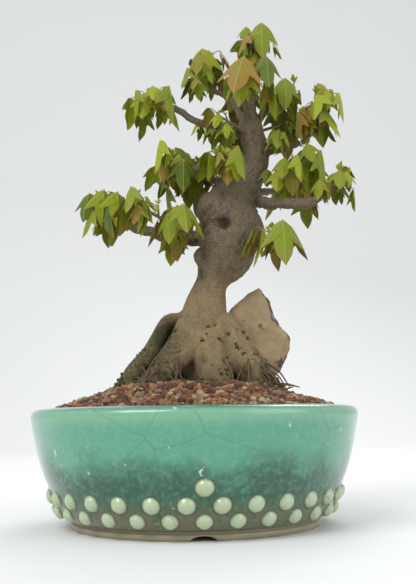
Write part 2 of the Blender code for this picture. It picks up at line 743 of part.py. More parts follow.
def grow(mass, masses, limbs, lines):
    """Grows one mass by its seeded rule: gives its twigs, as lines of (x, y, z, radius), and its leaves."""
    space = Space(mass, masses)
    heart = Vector(mass.heart) + Vector((0, 0, STEM_LIFT * mass.radius))
    if mass.host == "trunk":
        start = Vector(mass.start)
        thick = TWIG_THICK * 1.3
    else:
        tip, before = Vector(lines[mass.host][-1][:3]), Vector(lines[mass.host][-2][:3])
        start = tip + (tip - before).normalized() * GAP
        thick = lines[mass.host][-1][3]
    draw = random.Random(f"{mass.name} {mass.seed}")
    reach = heart - start
    stem_end = heart + reach.normalized() * mass.radius * draw.uniform(0.15, 0.4)
    for _ in range(TRIES):
        bend = Vector([draw.uniform(-0.15, 0.15) for _ in range(3)]) * mass.radius
        if mass.host == "trunk":
            lead = [start]
            middle = start.lerp(stem_end, 0.55) + bend
        else:
            ahead = (tip - before).normalized()
            lead = [start, start + ahead * STEM_LEAD]
            middle = start + ahead * reach.length * 0.5
            middle = middle.lerp(start.lerp(stem_end, 0.5), 0.5) + bend
        stem = [*lead[:-1], *smooth_line((lead[-1], middle, stem_end), 11)]
        if limbs.clearance([p[:3] for p in stem[2:]], mass.host) > LIMB_GAP + thick:
            break
    last = len(stem) - 1
    stem = [(*p, thick + (TWIG_THIN - thick) * i / last) for i, p in enumerate(stem)]
    twigs = [stem]
    leaves = []
    taken = []
    along = (stem_end - middle).normalized()
    place_leaves(mass, draw, stem_end, along, 2, 0.0, space, limbs, leaves, taken)
    for k in range(mass.shoots):
        share = 0.35 + 0.6 * (k + draw.random() * 0.6) / mass.shoots
        spot = share * last
        low = min(int(spot), last - 1)
        a, b = Vector(stem[low][:3]), Vector(stem[low + 1][:3])
        root = a.lerp(b, spot - low)
        run = (b - a).normalized()
        for _ in range(TRIES):
            turn = SHOOT_TURN * k + draw.uniform(-0.7, 0.7) + mass.seed
            out = turned_about(run.orthogonal().normalized(), run, turn)
            way = (out + run * draw.uniform(0.2, 0.9) + Vector((0, 0, draw.uniform(0.0, 0.6)))).normalized()
            end = root + way * mass.radius * draw.uniform(0.3, 0.65)
            samples = [tuple(root.lerp(end, s)) for s in (0.5, 0.75, 1.0)]
            if space.holds(samples, 1.0) and limbs.clearance(samples) > LIMB_GAP + TWIG_THIN:
                twigs.append([(*root, TWIG_THIN), (*end, TWIG_THIN * 0.8)])
                place_leaves(mass, draw, end, way, 2, PAIR_TURN * k, space, limbs, leaves, taken)
                break
    return twigs, leaves


def place_leaves(mass, draw, end, way, count, turn, space, limbs, leaves, taken):
    """Hangs an opposite pair of leaves at the end of a twig, each in the first free place that it tries."""
    small, large = mass.leaf
    flat = Vector((way.x, way.y, 0.0))
    heading = math.atan2(flat.y, flat.x) if flat.length > 0.2 else turn
    for side in range(count):
        for attempt in range(TRIES):
            swing = (1 if side % 2 else -1) * draw.uniform(0.5, 1.5) + (attempt // 3) * draw.uniform(-1.2, 1.2)
            out = Vector((math.cos(heading + swing), math.sin(heading + swing), 0))
            length = draw.uniform(small, large) * (1 - 0.05 * attempt)
            stalk = (out + Vector((0, 0, draw.uniform(0.0, 1.0)))).normalized() * length * draw.uniform(0.3, 0.65)
            droop = math.radians(draw.uniform(52, 92))
            along = (out * math.cos(droop) - Vector((0, 0, math.sin(droop)))).normalized()
            up = (out * math.sin(droop) + Vector((0, 0, math.cos(droop)))).normalized()
            up = turned_about(up, along, draw.uniform(-0.5, 0.5))
            root = end - way * STALK_APART * (side + 0.6)
            leaf = Leaf(root, root + stalk, along, up, length)
            samples = leaf_samples(leaf)
            if not space.holds(samples, 0.3):
                continue
            if limbs.clearance(samples) < LIMB_GAP:
                continue
            if taken:
                gaps = np.linalg.norm(np.array(samples)[:, None, :] - np.concatenate(taken)[None], axis=2)
                if gaps.min() < LEAF_GAP:
                    continue
            leaves.append(leaf)
            taken.append(np.array(samples))
            break


def surface(obj, grown=0.0):
    """The object's mesh as a search tree, its surface moved outwards by so many millimetres."""
    twin = copy_of(obj, grown)
    shape = bmesh.new()
    shape.from_mesh(twin.data)
    tree = BVHTree.FromBMesh(shape)
    shape.free()
    bpy.data.objects.remove(twin, do_unlink=True)
    return tree


def cut_clear(obj, others):
    """Cuts the object clear of each of the others that it touches."""
    near = surface(obj, GAP)
    touched = [other for other in others if near.overlap(surface(other))]
    for other in touched:
        boolean(obj, [copy_of(other, GAP)], "DIFFERENCE")
        keep_main_shell(obj)


def foliage(mass, limbs, lines, wood, finish):
    """One mass of foliage, its twigs and leaves fused and cut clear of the trunk."""
    twigs, leaves = grow(mass, MASSES, limbs, lines)
    made = mesh_object(mass.name, tube(twigs[0], 4), finish)
    pieces = [mesh_object("twig", tube(twig, STALK_SIDES)) for twig in twigs[1:]]
    pieces += [mesh_object("leaf", leaf_shape(leaf)) for leaf in leaves if leaf.length >= SMALLEST_SOLID]
    for piece in pieces:
        face_out(piece)
    boolean(made, pieces, "UNION")
    if mass.host == "trunk":
        boolean(made, [copy_of(wood, GAP)], "DIFFERENCE")
    keep_main_shell(made)
    return made


def boughs(lines, wood, finish):
    """The boughs, each cut clear of the trunk."""
    built = []
    for bough in BOUGHS:
        made = mesh_object(bough.name, tube(lines[bough.name], BOUGH_SIDES), finish)
        boolean(made, [copy_of(wood, GAP)], "DIFFERENCE")
        keep_main_shell(made)
        built.append(made)
    return built


def main():
    """Builds the pot, the soil, the stone, the trunk, its boughs and the foliage."""
    clear_scene()
    glaze = material("glaze", (0.10, 0.36, 0.26), 0.18)
    earth = material("soil", (0.16, 0.07, 0.03), 0.9)
    rock = material("stone", (0.38, 0.28, 0.14), 0.85)
    bark = material("bark", (0.22, 0.16, 0.09), 0.85)
    green = material("leaf", (0.22, 0.34, 0.03), 0.5)
    pot(glaze)
    soil(earth)
    slab = stone(rock)
    wood = trunk(bark, slab)
    lines = limb_lines()
    limbs = Limbs(lines)
    built = boughs(lines, wood, bark)
    for mass in MASSES:
        made = foliage(mass, limbs, lines, wood, green)
        cut_clear(made, built)
        built.append(made)


if __name__ == "__main__":
    main()
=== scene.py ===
"""Looks of the bonsai: bark, leaves, stone, soil and glazed pot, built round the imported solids.

Sizes are in millimetres where a name doesn't say otherwise, and meshes are written in metres. +Z is up,
the origin is on the pot's axis at the underside of its foot, and the front of the tree looks along -Y.
"""

import json
import logging
import math
import random
from dataclasses import dataclass, field
from enum import Enum

import bpy
import numpy as np
from mathutils import Matrix, Vector, noise

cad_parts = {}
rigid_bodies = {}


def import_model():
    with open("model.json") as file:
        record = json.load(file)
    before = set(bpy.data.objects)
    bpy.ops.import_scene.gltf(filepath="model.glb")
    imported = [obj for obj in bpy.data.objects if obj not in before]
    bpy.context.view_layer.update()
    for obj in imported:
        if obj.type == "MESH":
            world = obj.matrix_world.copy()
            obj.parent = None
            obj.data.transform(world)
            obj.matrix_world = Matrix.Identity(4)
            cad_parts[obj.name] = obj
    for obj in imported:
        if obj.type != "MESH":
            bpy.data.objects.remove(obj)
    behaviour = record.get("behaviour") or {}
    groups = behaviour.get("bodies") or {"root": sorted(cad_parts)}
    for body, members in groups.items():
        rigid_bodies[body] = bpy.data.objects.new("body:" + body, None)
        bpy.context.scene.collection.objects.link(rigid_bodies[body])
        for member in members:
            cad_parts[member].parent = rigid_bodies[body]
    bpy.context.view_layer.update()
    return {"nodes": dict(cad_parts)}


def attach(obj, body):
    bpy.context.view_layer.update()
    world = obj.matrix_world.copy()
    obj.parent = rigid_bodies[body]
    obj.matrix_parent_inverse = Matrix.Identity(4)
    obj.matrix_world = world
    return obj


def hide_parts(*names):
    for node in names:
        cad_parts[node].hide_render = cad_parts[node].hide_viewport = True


Shape = tuple[list, list]       # points in millimetres, and faces
Line = list | tuple             # points of a line, each x, y, z and often a radius
Colour = tuple[float, float, float]

LOG = logging.getLogger("bonsai")
BODY = "root"

GAP = 0.3                       # clearance between one solid and its neighbour
MM = 0.001
# The pot: a drum with a foot ring, two full rows of bosses and three single ones.
BOSS_TURN = math.radians(2.86)  # angle of the first boss from the front
FOOT_RADIUS = 92.0
ARCH_WIDTH = 17.0

# The soil fills the pot, flat where the tree stands and falling to the lip.
GROUND = 97.0
SOIL_TOP = (                    # radius and height
    (60.0, GROUND),
    (78.0, 91.0),
    (92.0, 87.5),
    (106.4, 83.6),
)

# The trunk: stations of its centre line (x, y, z) with the radius there.
TRUNK_FOOT = 88.0
TRUNK_LINE = (
    (8.0, 2.0, TRUNK_FOOT, 27.0),
    (7.0, 1.0, 118.0, 22.5),
    (7.0, 0.0, 138.0, 20.0),
    (8.0, 0.0, 154.0, 18.5),
    (10.5, 0.0, 168.0, 15.5),
    (14.6, 0.0, 182.0, 12.2),
    (18.6, 0.0, 191.0, 16.5),
    (25.0, -1.0, 201.0, 20.5),
    (28.5, -1.0, 214.0, 23.0),
    (30.0, -1.0, 226.0, 23.0),
    (30.0, 0.0, 239.0, 21.5),
    (32.5, 0.0, 251.0, 18.0),
    (41.5, 0.0, 263.0, 13.5),
    (48.5, 0.0, 275.0, 11.5),
    (52.0, 0.0, 288.0, 10.3),
    (49.5, 0.0, 302.0, 10.2),
    (47.5, 0.0, 313.0, 8.8),
    (48.0, 0.0, 322.0, 5.6),
)
BURR_SWELLINGS = (              # round swellings of the burr halfway up: centre and radius
    (20.5, -9.0, 238.0, 17.0),
    (40.0, -5.0, 224.0, 15.5),
    (32.0, 9.0, 226.0, 18.0),
    (8.0, -6.0, 201.0, 7.5),
)


@dataclass(frozen=True)
class Root:
    """A surface root: stations of its centre line from the trunk out to the soil, with the radius there."""
    line: tuple


ROOTS = (
    Root(((2, 2, 160, 9), (-10, 4, 154, 5.5), (-20, 4, 152, 6), (-28, 2, 138, 6.5), (-34, 0, 125, 8),
          (-46, -4, 111, 8), (-57, -9, TRUNK_FOOT, 9))),
    Root(((-6, 13, 148, 9), (-18, 12, 126, 11), (-30, 10, 108, 13), (-44, 6, TRUNK_FOOT, 13))),
    Root(((-2, -8, 148, 11), (-10, -13, 130, 12), (-24, -20, 110, 11), (-46, -26, TRUNK_FOOT, 8))),
    Root(((1, -14, 140, 8), (-6, -21, 125, 7), (-24, -30, 106, 7), (-52, -34, TRUNK_FOOT, 5))),
    Root(((8, -10, 138, 14), (13, -19, 118, 14), (18, -29, TRUNK_FOOT, 13))),
    Root(((18, -6, 146, 11), (32, -13, 126, 12), (44, -20, 108, 11), (56, -23, TRUNK_FOOT, 9))),
    Root(((22, -5, 154, 8), (34, -7, 134, 9), (47, -10, 114, 9), (62, -13, TRUNK_FOOT, 8))),
    Root(((14, 12, 142, 12), (20, 26, 118, 11), (26, 44, TRUNK_FOOT, 9))),
    Root(((2, 12, 142, 12), (-8, 26, 116, 11), (-18, 42, TRUNK_FOOT, 9))),
)


@dataclass(frozen=True)
class Bough:
    """One limb: the points its centre line passes from inside the trunk to its tip, and its end radii."""
    name: str
    line: tuple
    thick: float
    thin: float


BOUGHS = (
    Bough("bough_low_left", ((12, 3, 218), (-12, 9, 219), (-38, 14, 228), (-62, 14, 235)), 5.0, 3.0),
    Bough("bough_low_left_front", ((12, -16, 214), (-2, -21, 217), (-20, -27, 225)), 2.6, 1.7),
    Bough("bough_mid_left", ((38, -4, 258), (26, -12, 270), (10, -17, 271), (-4, -18, 265)), 6.0, 2.8),
    Bough("bough_upper_left", ((48, 0, 301), (30, -4, 309), (6, -10, 310), (-7, -12, 318), (-19, -12, 325)),
          4.2, 1.9),
    Bough("bough_top_left", ((44, 0, 312), (33, 1, 332), (20, 1, 342)), 3.0, 1.7),
    Bough("bough_leader", ((48.5, -1, 318), (50, -2, 336), (51.5, -5, 355)), 3.8, 2.0),
    Bough("bough_crown_front", ((47, -2, 308), (44, -14, 318), (40, -22, 330)), 3.2, 1.8),
    Bough("bough_right_top", ((50, 0, 310), (62, 2, 326), (70, 3, 340)), 3.4, 1.8),
    Bough("bough_upper_right", ((50, 0, 289), (70, -1, 290), (88, -4, 295)), 3.8, 2.0),
    Bough("bough_low_right", ((42, -3, 250), (60, -10, 243), (74, -21, 240), (88, -34, 236), (98, -43, 240)),
          5.4, 2.2),
    Bough("bough_low_right_under", ((42, -10, 214), (56, -22, 207), (64, -29, 206)), 3.4, 2.0),
    Bough("bough_back_low", ((32, 12, 232), (36, 30, 238), (34, 44, 242)), 4.6, 2.4),
    Bough("bough_back_right", ((40, 6, 256), (58, 22, 262), (72, 34, 266)), 4.2, 2.2),
    Bough("bough_back_left", ((40, 4, 264), (20, 20, 272), (4, 32, 274)), 4.0, 2.2),
    Bough("bough_back_upper", ((48, 2, 296), (48, 20, 304), (46, 34, 312)), 3.6, 2.0),
)
LIMB_STEP = 6.0                 # length between two rings of the trunk or a root
BOUGH_STEP = 9.0                # length between two rings of a bough
BOUGH_KNOTS = 0.10              # how far its thickness wanders, as a share


@dataclass(frozen=True)
class Mass:
    """A mass of foliage: the limb that carries it, the middle and radius of its space, and its leaves."""
    name: str
    host: str
    heart: tuple
    radius: float
    shoots: int
    leaf: tuple
    seed: int
    start: tuple = ()


MASSES = (
    Mass("leaves_low_left_tip", "bough_low_left", (-72, 11, 238), 26, 5, (12, 34), 1311),
    Mass("leaves_low_left_front", "bough_low_left_front", (-40, -30, 230), 20, 3, (15, 30), 1278),
    Mass("leaves_low_left_inner", "trunk", (-12, -22, 211), 27, 3, (18, 42), 1601, (10, -12, 224)),
    Mass("leaves_mid_left", "bough_mid_left", (-16, -17, 271), 21, 4, (12, 32), 1709),
    Mass("leaves_mid_left_inner", "trunk", (1, 4, 265), 23, 5, (14, 28), 1830, (34, 4, 260)),
    Mass("leaves_front_centre", "trunk", (27, -30, 263), 19, 3, (20, 36), 1773, (38, -4, 262)),
    Mass("leaves_upper_left", "bough_upper_left", (-29, -9, 309), 28, 6, (14, 36), 852),
    Mass("leaves_upper_left_inner", "trunk", (23, -16, 304), 17, 3, (14, 28), 1845, (46, -4, 302)),
    Mass("leaves_top_left", "bough_top_left", (10, 2, 352), 25, 5, (15, 32), 147),
    Mass("leaves_apex", "bough_leader", (55, -8, 367), 22, 5, (16, 34), 702),
    Mass("leaves_crown_front", "bough_crown_front", (44, -32, 323), 26, 5, (18, 40), 88),
    Mass("leaves_right_top", "bough_right_top", (74, 2, 323), 27, 6, (18, 42), 788),
    Mass("leaves_upper_right", "bough_upper_right", (99, -8, 312), 26, 6, (14, 36), 183),
    Mass("leaves_right_under", "trunk", (67, -14, 288), 13, 2, (14, 26), 2531, (52, -2, 284)),
    Mass("leaves_low_right_inner", "trunk", (84, -12, 258), 25, 5, (18, 40), 607, (46, -2, 256)),
    Mass("leaves_low_right_tip", "bough_low_right", (110, -44, 241), 17, 3, (13, 28), 2145),
    Mass("leaves_low_right_under", "bough_low_right_under", (61, -34, 196), 23, 4, (20, 42), 1970),
    Mass("leaves_back_low", "bough_back_low", (26, 58, 239), 26, 5, (16, 38), 146),
    Mass("leaves_back_right", "bough_back_right", (91, 42, 258), 26, 5, (16, 38), 1541),
    Mass("leaves_back_left", "bough_back_left", (-7, 42, 280), 26, 5, (16, 38), 373),
    Mass("leaves_back_upper", "bough_back_upper", (36, 52, 302), 26, 5, (16, 38), 2374),
    Mass("leaves_back_upper_left", "trunk", (14, 36, 315), 20, 4, (16, 34), 2212, (46, 4, 306)),
    Mass("leaves_back_upper_right", "trunk", (92, 36, 322), 20, 4, (16, 34), 894, (50, 4, 306)),
    Mass("leaves_back_top", "trunk", (45, 26, 342), 23, 4, (16, 34), 1893, (48, 3, 318)),
)
WIDEST = 122.0                  # how far leaves may stand from the pot's axis, across and in depth
SPACE_REACH = 1.5               # how far leaves may stand from the heart, as a share of its radius
STEM_LIFT = 0.5                 # how far a stem passes over the heart of its mass, as a share of its radius
STEM_PAST = (0.15, 0.4)         # how far it runs past the heart, as a share of that radius
STEM_BEND = 0.15                # how far its middle bends aside, as a share of that radius
STEM_FOOT = 1.3                 # how much thicker it starts where it leaves the trunk
STEM_MIDDLE = 0.55              # where its middle is, as a share of its length
TWIG_THICK = 1.1                # radius of a mass's stem where its host is the trunk
TWIG_THIN = 0.95                # radius at the end of a stem or shoot
STEM_STEP = 11.0                # length between two rings of a stem
STEM_LEAD = 1.6                 # a stem first runs on straight from its bough's tip
STALK_THICK = 0.5              # radius of a leaf's stalk
STALK_APART = 1.7               # how far apart the stalks of a pair leave their twig
CELL_GAP = 0.25                 # what each mass keeps to the plane between it and the next
LIMB_GAP = 0.9                  # and what its leaves keep to a limb
LEAF_GAP = 1.2                  # and to each other
SPACE_MARGIN = 0.3              # and to the edge of its space
TRIES = 9                       # places a leaf tries before it is left out
PAIR_TURN = math.radians(90)    # pairs of leaves stand crosswise
SHOOT_TURN = math.radians(137.5)
SHOOT_FROM = 0.35               # the first shoot leaves here, as a share of the stem
SHOOT_OVER = 0.6                # the shoots are spread over this share of the stem
SHOOT_WANDER = 0.6              # how far a shoot's place wanders, as a share of the step between two
SHOOT_SWING = 0.7               # how far its direction wanders, in radians
SHOOT_AHEAD = (0.2, 0.9)        # how far it leans along the stem
SHOOT_RISE = (0.0, 0.6)         # and upwards
SHOOT_REACH = (0.3, 0.65)       # its length, as a share of the radius of the mass
SHOOT_TAPER = 0.8
SHOOT_MARGIN = 1.0              # what it keeps to the edge of its space

# The leaf: half its outline, along and across, as shares of its length.
LEAF_HALF = (
    (0.10, 0.24),
    (0.55, 0.47),
    (0.47, 0.20),
)
LEAF_MIDDLE = 0.32              # where its three ribs part
LEAF_FOLD = 0.50                # how far its sides hang, as a share of their width
LEAF_CURL = 0.16                # how far its tip curls under
LEAF_THICK = 0.035              # thickness at the middle, as a share of its length
LEAF_DROOP = (52, 92)           # how steeply it hangs, in degrees
LEAF_ROLL = 0.5                 # how far it rolls to a side, in radians
LEAF_SWING = (0.5, 1.5)         # how far it points away from its twig's direction, in radians
UPRIGHT = 0.2                   # a twig whose direction is less level than this counts as upright
RETRY_GROUP = 3                 # tries with the same spread of directions
RETRY_SWING = 1.2               # how much wider the next tries spread
RETRY_SHRINK = 0.05             # how much smaller the leaf gets with each try
STALK_RISE = (0.0, 1.0)         # how steeply its stalk rises
STALK_REACH = (0.3, 0.65)       # the stalk's length, as a share of the blade's
STALK_FIRST = 0.6               # where the first stalk leaves its twig, in steps of STALK_APART
STALK_SAMPLES = (0.5, 0.75, 1.0)
BLADE_SAMPLES = (0.35, 0.7, 1.0)
EDGE_SAMPLES = (0.0, 0.33, 0.67)
FULL_TURN = 6.3                 # a little over a full turn, in radians, to draw directions from
FILL_FROM = 0.35                # where along a twig the smaller leaves start


def apply_modifiers(obj: bpy.types.Object) -> None:
    """Puts the mesh that the modifiers make in place of the object's own.

    Args:
        obj: The object.
    """
    graph = bpy.context.evaluated_depsgraph_get()
    graph.update()
    made = bpy.data.meshes.new_from_object(obj.evaluated_get(graph), depsgraph=graph)
    obj.modifiers.clear()
    old = obj.data
    obj.data = made
    bpy.data.meshes.remove(old)


def smooth_line(points: Line, step: float) -> list:
    """Points a step apart along a curve through the given points.

    Args:
        points: Points of the line, which may hold a radius after x, y and z.
        step: The distance between two points of the result.

    Returns:
        The points along the curve.
    """
    knots = [np.array(p, float) for p in points]
    knots = [2 * knots[0] - knots[1], *knots, 2 * knots[-1] - knots[-2]]
    line = []
    for a, b, c, d in zip(knots, knots[1:], knots[2:], knots[3:]):
        count = max(1, round(float(np.linalg.norm((c - b)[:3])) / step))
        for i in range(count):
            t = i / count
            line.append(0.5 * (2 * b + (c - a) * t + (2 * a - 5 * b + 4 * c - d) * t ** 2
                               + (3 * b - a - 3 * c + d) * t ** 3))
    return [*line, knots[-2]]


def tube(line: Line, sides: int) -> Shape:
    """A closed tube round a line.

    Args:
        line: Points of (x, y, z, radius).
        sides: How many sides it has.

    Returns:
        Its points and faces.
    """
    centres = [Vector(p[:3]) for p in line]
    points = []
    across = None
    for i, centre in enumerate(centres):
        along = (centres[min(i + 1, len(centres) - 1)] - centres[max(i - 1, 0)]).normalized()
        if across is None:
            across = along.orthogonal()
        across = (across - along * across.dot(along)).normalized()
        other = along.cross(across)
        for k in range(sides):
            turn = 2 * math.pi * k / sides
            points.append(centre + (across * math.cos(turn) + other * math.sin(turn)) * line[i][3])
    faces = [tuple(reversed(range(sides)))]
    for i in range(len(centres) - 1):
        for k in range(sides):
            a, b = i * sides + k, i * sides + (k + 1) % sides
            faces.append((a, b, b + sides, a + sides))
    last = (len(centres) - 1) * sides
    faces.append(tuple(range(last, last + sides)))
    return points, faces


def ball(centre: tuple, radius: float, rings: int) -> Shape:
    """A closed ball.

    Args:
        centre: Its middle.
        radius: Its radius.
        rings: How many rings it has from pole to pole.

    Returns:
        Its points and faces.
    """
    line = []
    for i in range(1, rings):
        turn = math.pi * i / rings
        line.append((centre[0], centre[1], centre[2] - radius * math.cos(turn), radius * math.sin(turn)))
    return tube(line, 2 * rings)


def joined(shapes: list) -> Shape:
    """Several shapes as one.

    Args:
        shapes: The shapes, each of them points and faces.

    Returns:
        All their points and faces.
    """
    points = []
    faces = []
    for some_points, some_faces in shapes:
        start = len(points)
        points.extend(some_points)
        faces.extend(tuple(i + start for i in face) for face in some_faces)
    return points, faces


def bough_line(bough: Bough) -> list:
    """The bough's centre line with its radius, which tapers and swells a little at knots.

    Args:
        bough: The bough.

    Returns:
        Points of (x, y, z, radius).
    """
    line = smooth_line(bough.line, BOUGH_STEP)
    knots = random.Random(bough.name)
    last = len(line) - 1
    made = []
    for i, point in enumerate(line):
        radius = bough.thick + (bough.thin - bough.thick) * i / last
        if 0 < i < last:
            radius *= 1 + knots.uniform(-BOUGH_KNOTS, BOUGH_KNOTS)
        made.append((point[0], point[1], point[2], radius))
    return made


def limb_lines() -> dict[str, list]:
    """The centre lines of all limbs.

    Returns:
        The lines by name, each as points of (x, y, z, radius).
    """
    lines = {bough.name: bough_line(bough) for bough in BOUGHS}
    lines["trunk"] = smooth_line(TRUNK_LINE, LIMB_STEP)
    for i, root in enumerate(ROOTS):
        lines[f"trunk.root_{i}"] = smooth_line(root.line, LIMB_STEP)
    for i, (x, y, z, radius) in enumerate(BURR_SWELLINGS):
        lines[f"trunk.burr_{i}"] = [(x, y, z - 1, radius), (x, y, z + 1, radius)]
    return lines


class Limbs:
    """All limbs as tapering segments, to keep twigs and leaves clear of them."""

    def __init__(self, lines: dict[str, list]) -> None:
        """Cuts the limbs into segments.

        Args:
            lines: The limbs' centre lines.
        """
        starts = []
        ends = []
        names = []
        for name, line in lines.items():
            for a, b in zip(line, line[1:]):
                starts.append(a)
                ends.append(b)
                names.append(name.split(".")[0])
        self.starts = np.array(starts, float)
        self.ends = np.array(ends, float)
        self.names = np.array(names)

    def clearance(self, points: list, without: str = "") -> float:
        """The least distance from any of the points to the surface of any limb but one.

        Args:
            points: The points.
            without: The limb that doesn't count.

        Returns:
            The distance, below nothing inside a limb.
        """
        use = self.names != without
        a, b = self.starts[use], self.ends[use]
        run = b[:, :3] - a[:, :3]
        p = np.asarray(points, float)[:, None, :]
        share = ((p - a[None, :, :3]) * run).sum(2) / np.maximum((run * run).sum(1), 1e-9)
        share = np.clip(share, 0, 1)
        nearest = a[None, :, :3] + share[:, :, None] * run
        radius = a[None, :, 3] + share * (b[:, 3] - a[:, 3])
        return float((np.linalg.norm(p - nearest, axis=2) - radius).min())


class Space:
    """The space that one mass keeps to: a ball round its heart, cut by the planes to the other masses."""

    def __init__(self, mass: Mass, masses: tuple) -> None:
        """Works out the planes.

        Args:
            mass: The mass.
            masses: All masses.
        """
        self.heart = np.array(mass.heart, float)
        self.radius = mass.radius
        others = [other for other in masses if other.name != mass.name]
        hearts = np.array([other.heart for other in others], float)
        away = hearts - self.heart
        far = np.linalg.norm(away, axis=1)
        self.normals = away / far[:, None]
        weights = np.array([other.radius ** 2 for other in others])
        self.limits = (far ** 2 + mass.radius ** 2 - weights) / (2 * far) - CELL_GAP

    def holds(self, points: list, margin: float = 0.0) -> bool:
        """Whether every point lies inside.

        Args:
            points: The points.
            margin: How far inside they must be.

        Returns:
            True if all of them do.
        """
        points = np.asarray(points, float)
        away = points - self.heart
        if np.linalg.norm(away, axis=1).max() > self.radius * SPACE_REACH - margin:
            return False
        if np.abs(points[:, :2]).max() > WIDEST:
            return False
        return bool((away @ self.normals.T <= self.limits - margin).all())


@dataclass(frozen=True)
class Leaf:
    """A leaf: the starts of its stalk and its blade, the way the blade runs, its upper side, its length."""
    root: Vector
    base: Vector
    along: Vector
    up: Vector
    length: float

    def place(self, along: float, side: float, lift: float = 0.0) -> Vector:
        """A point of the blade, which hangs at its sides and curls under at its tip.

        Args:
            along: How far along it, as a share of its length.
            side: How far across it, as a share of its length.
            lift: How far above it, as a share of its length.

        Returns:
            The point.
        """
        across = self.along.cross(self.up).normalized()
        sink = LEAF_FOLD * abs(side) + LEAF_CURL * along ** 2
        return self.base + (self.along * along + across * side + self.up * (lift - sink)) * self.length

    def samples(self) -> list:
        """Points to test what the leaf comes near.

        Returns:
            Points spread over the blade and the outer part of the stalk.
        """
        right = [self.place(along, side) for along, side in LEAF_HALF]
        left = [self.place(along, -side) for along, side in reversed(LEAF_HALF)]
        top = self.place(LEAF_MIDDLE, 0.0, LEAF_THICK / 2)
        ring = [self.base, *right, self.place(1.0, 0.0), *left]
        samples = [self.root.lerp(self.base, share) for share in STALK_SAMPLES]
        samples.append(top)
        for a, b in zip(ring, ring[1:] + ring[:1]):
            for share in BLADE_SAMPLES:
                for turn in EDGE_SAMPLES:
                    samples.append(top + (a.lerp(b, turn) - top) * share)
        return [tuple(p) for p in samples]


def turned_about(vector: Vector, axis: Vector, angle: float) -> Vector:
    """Turns a vector.

    Args:
        vector: The vector.
        axis: What it is turned about.
        angle: How far, in radians.

    Returns:
        The turned vector.
    """
    return (vector * math.cos(angle) + axis.cross(vector) * math.sin(angle)
            + axis * axis.dot(vector) * (1 - math.cos(angle)))


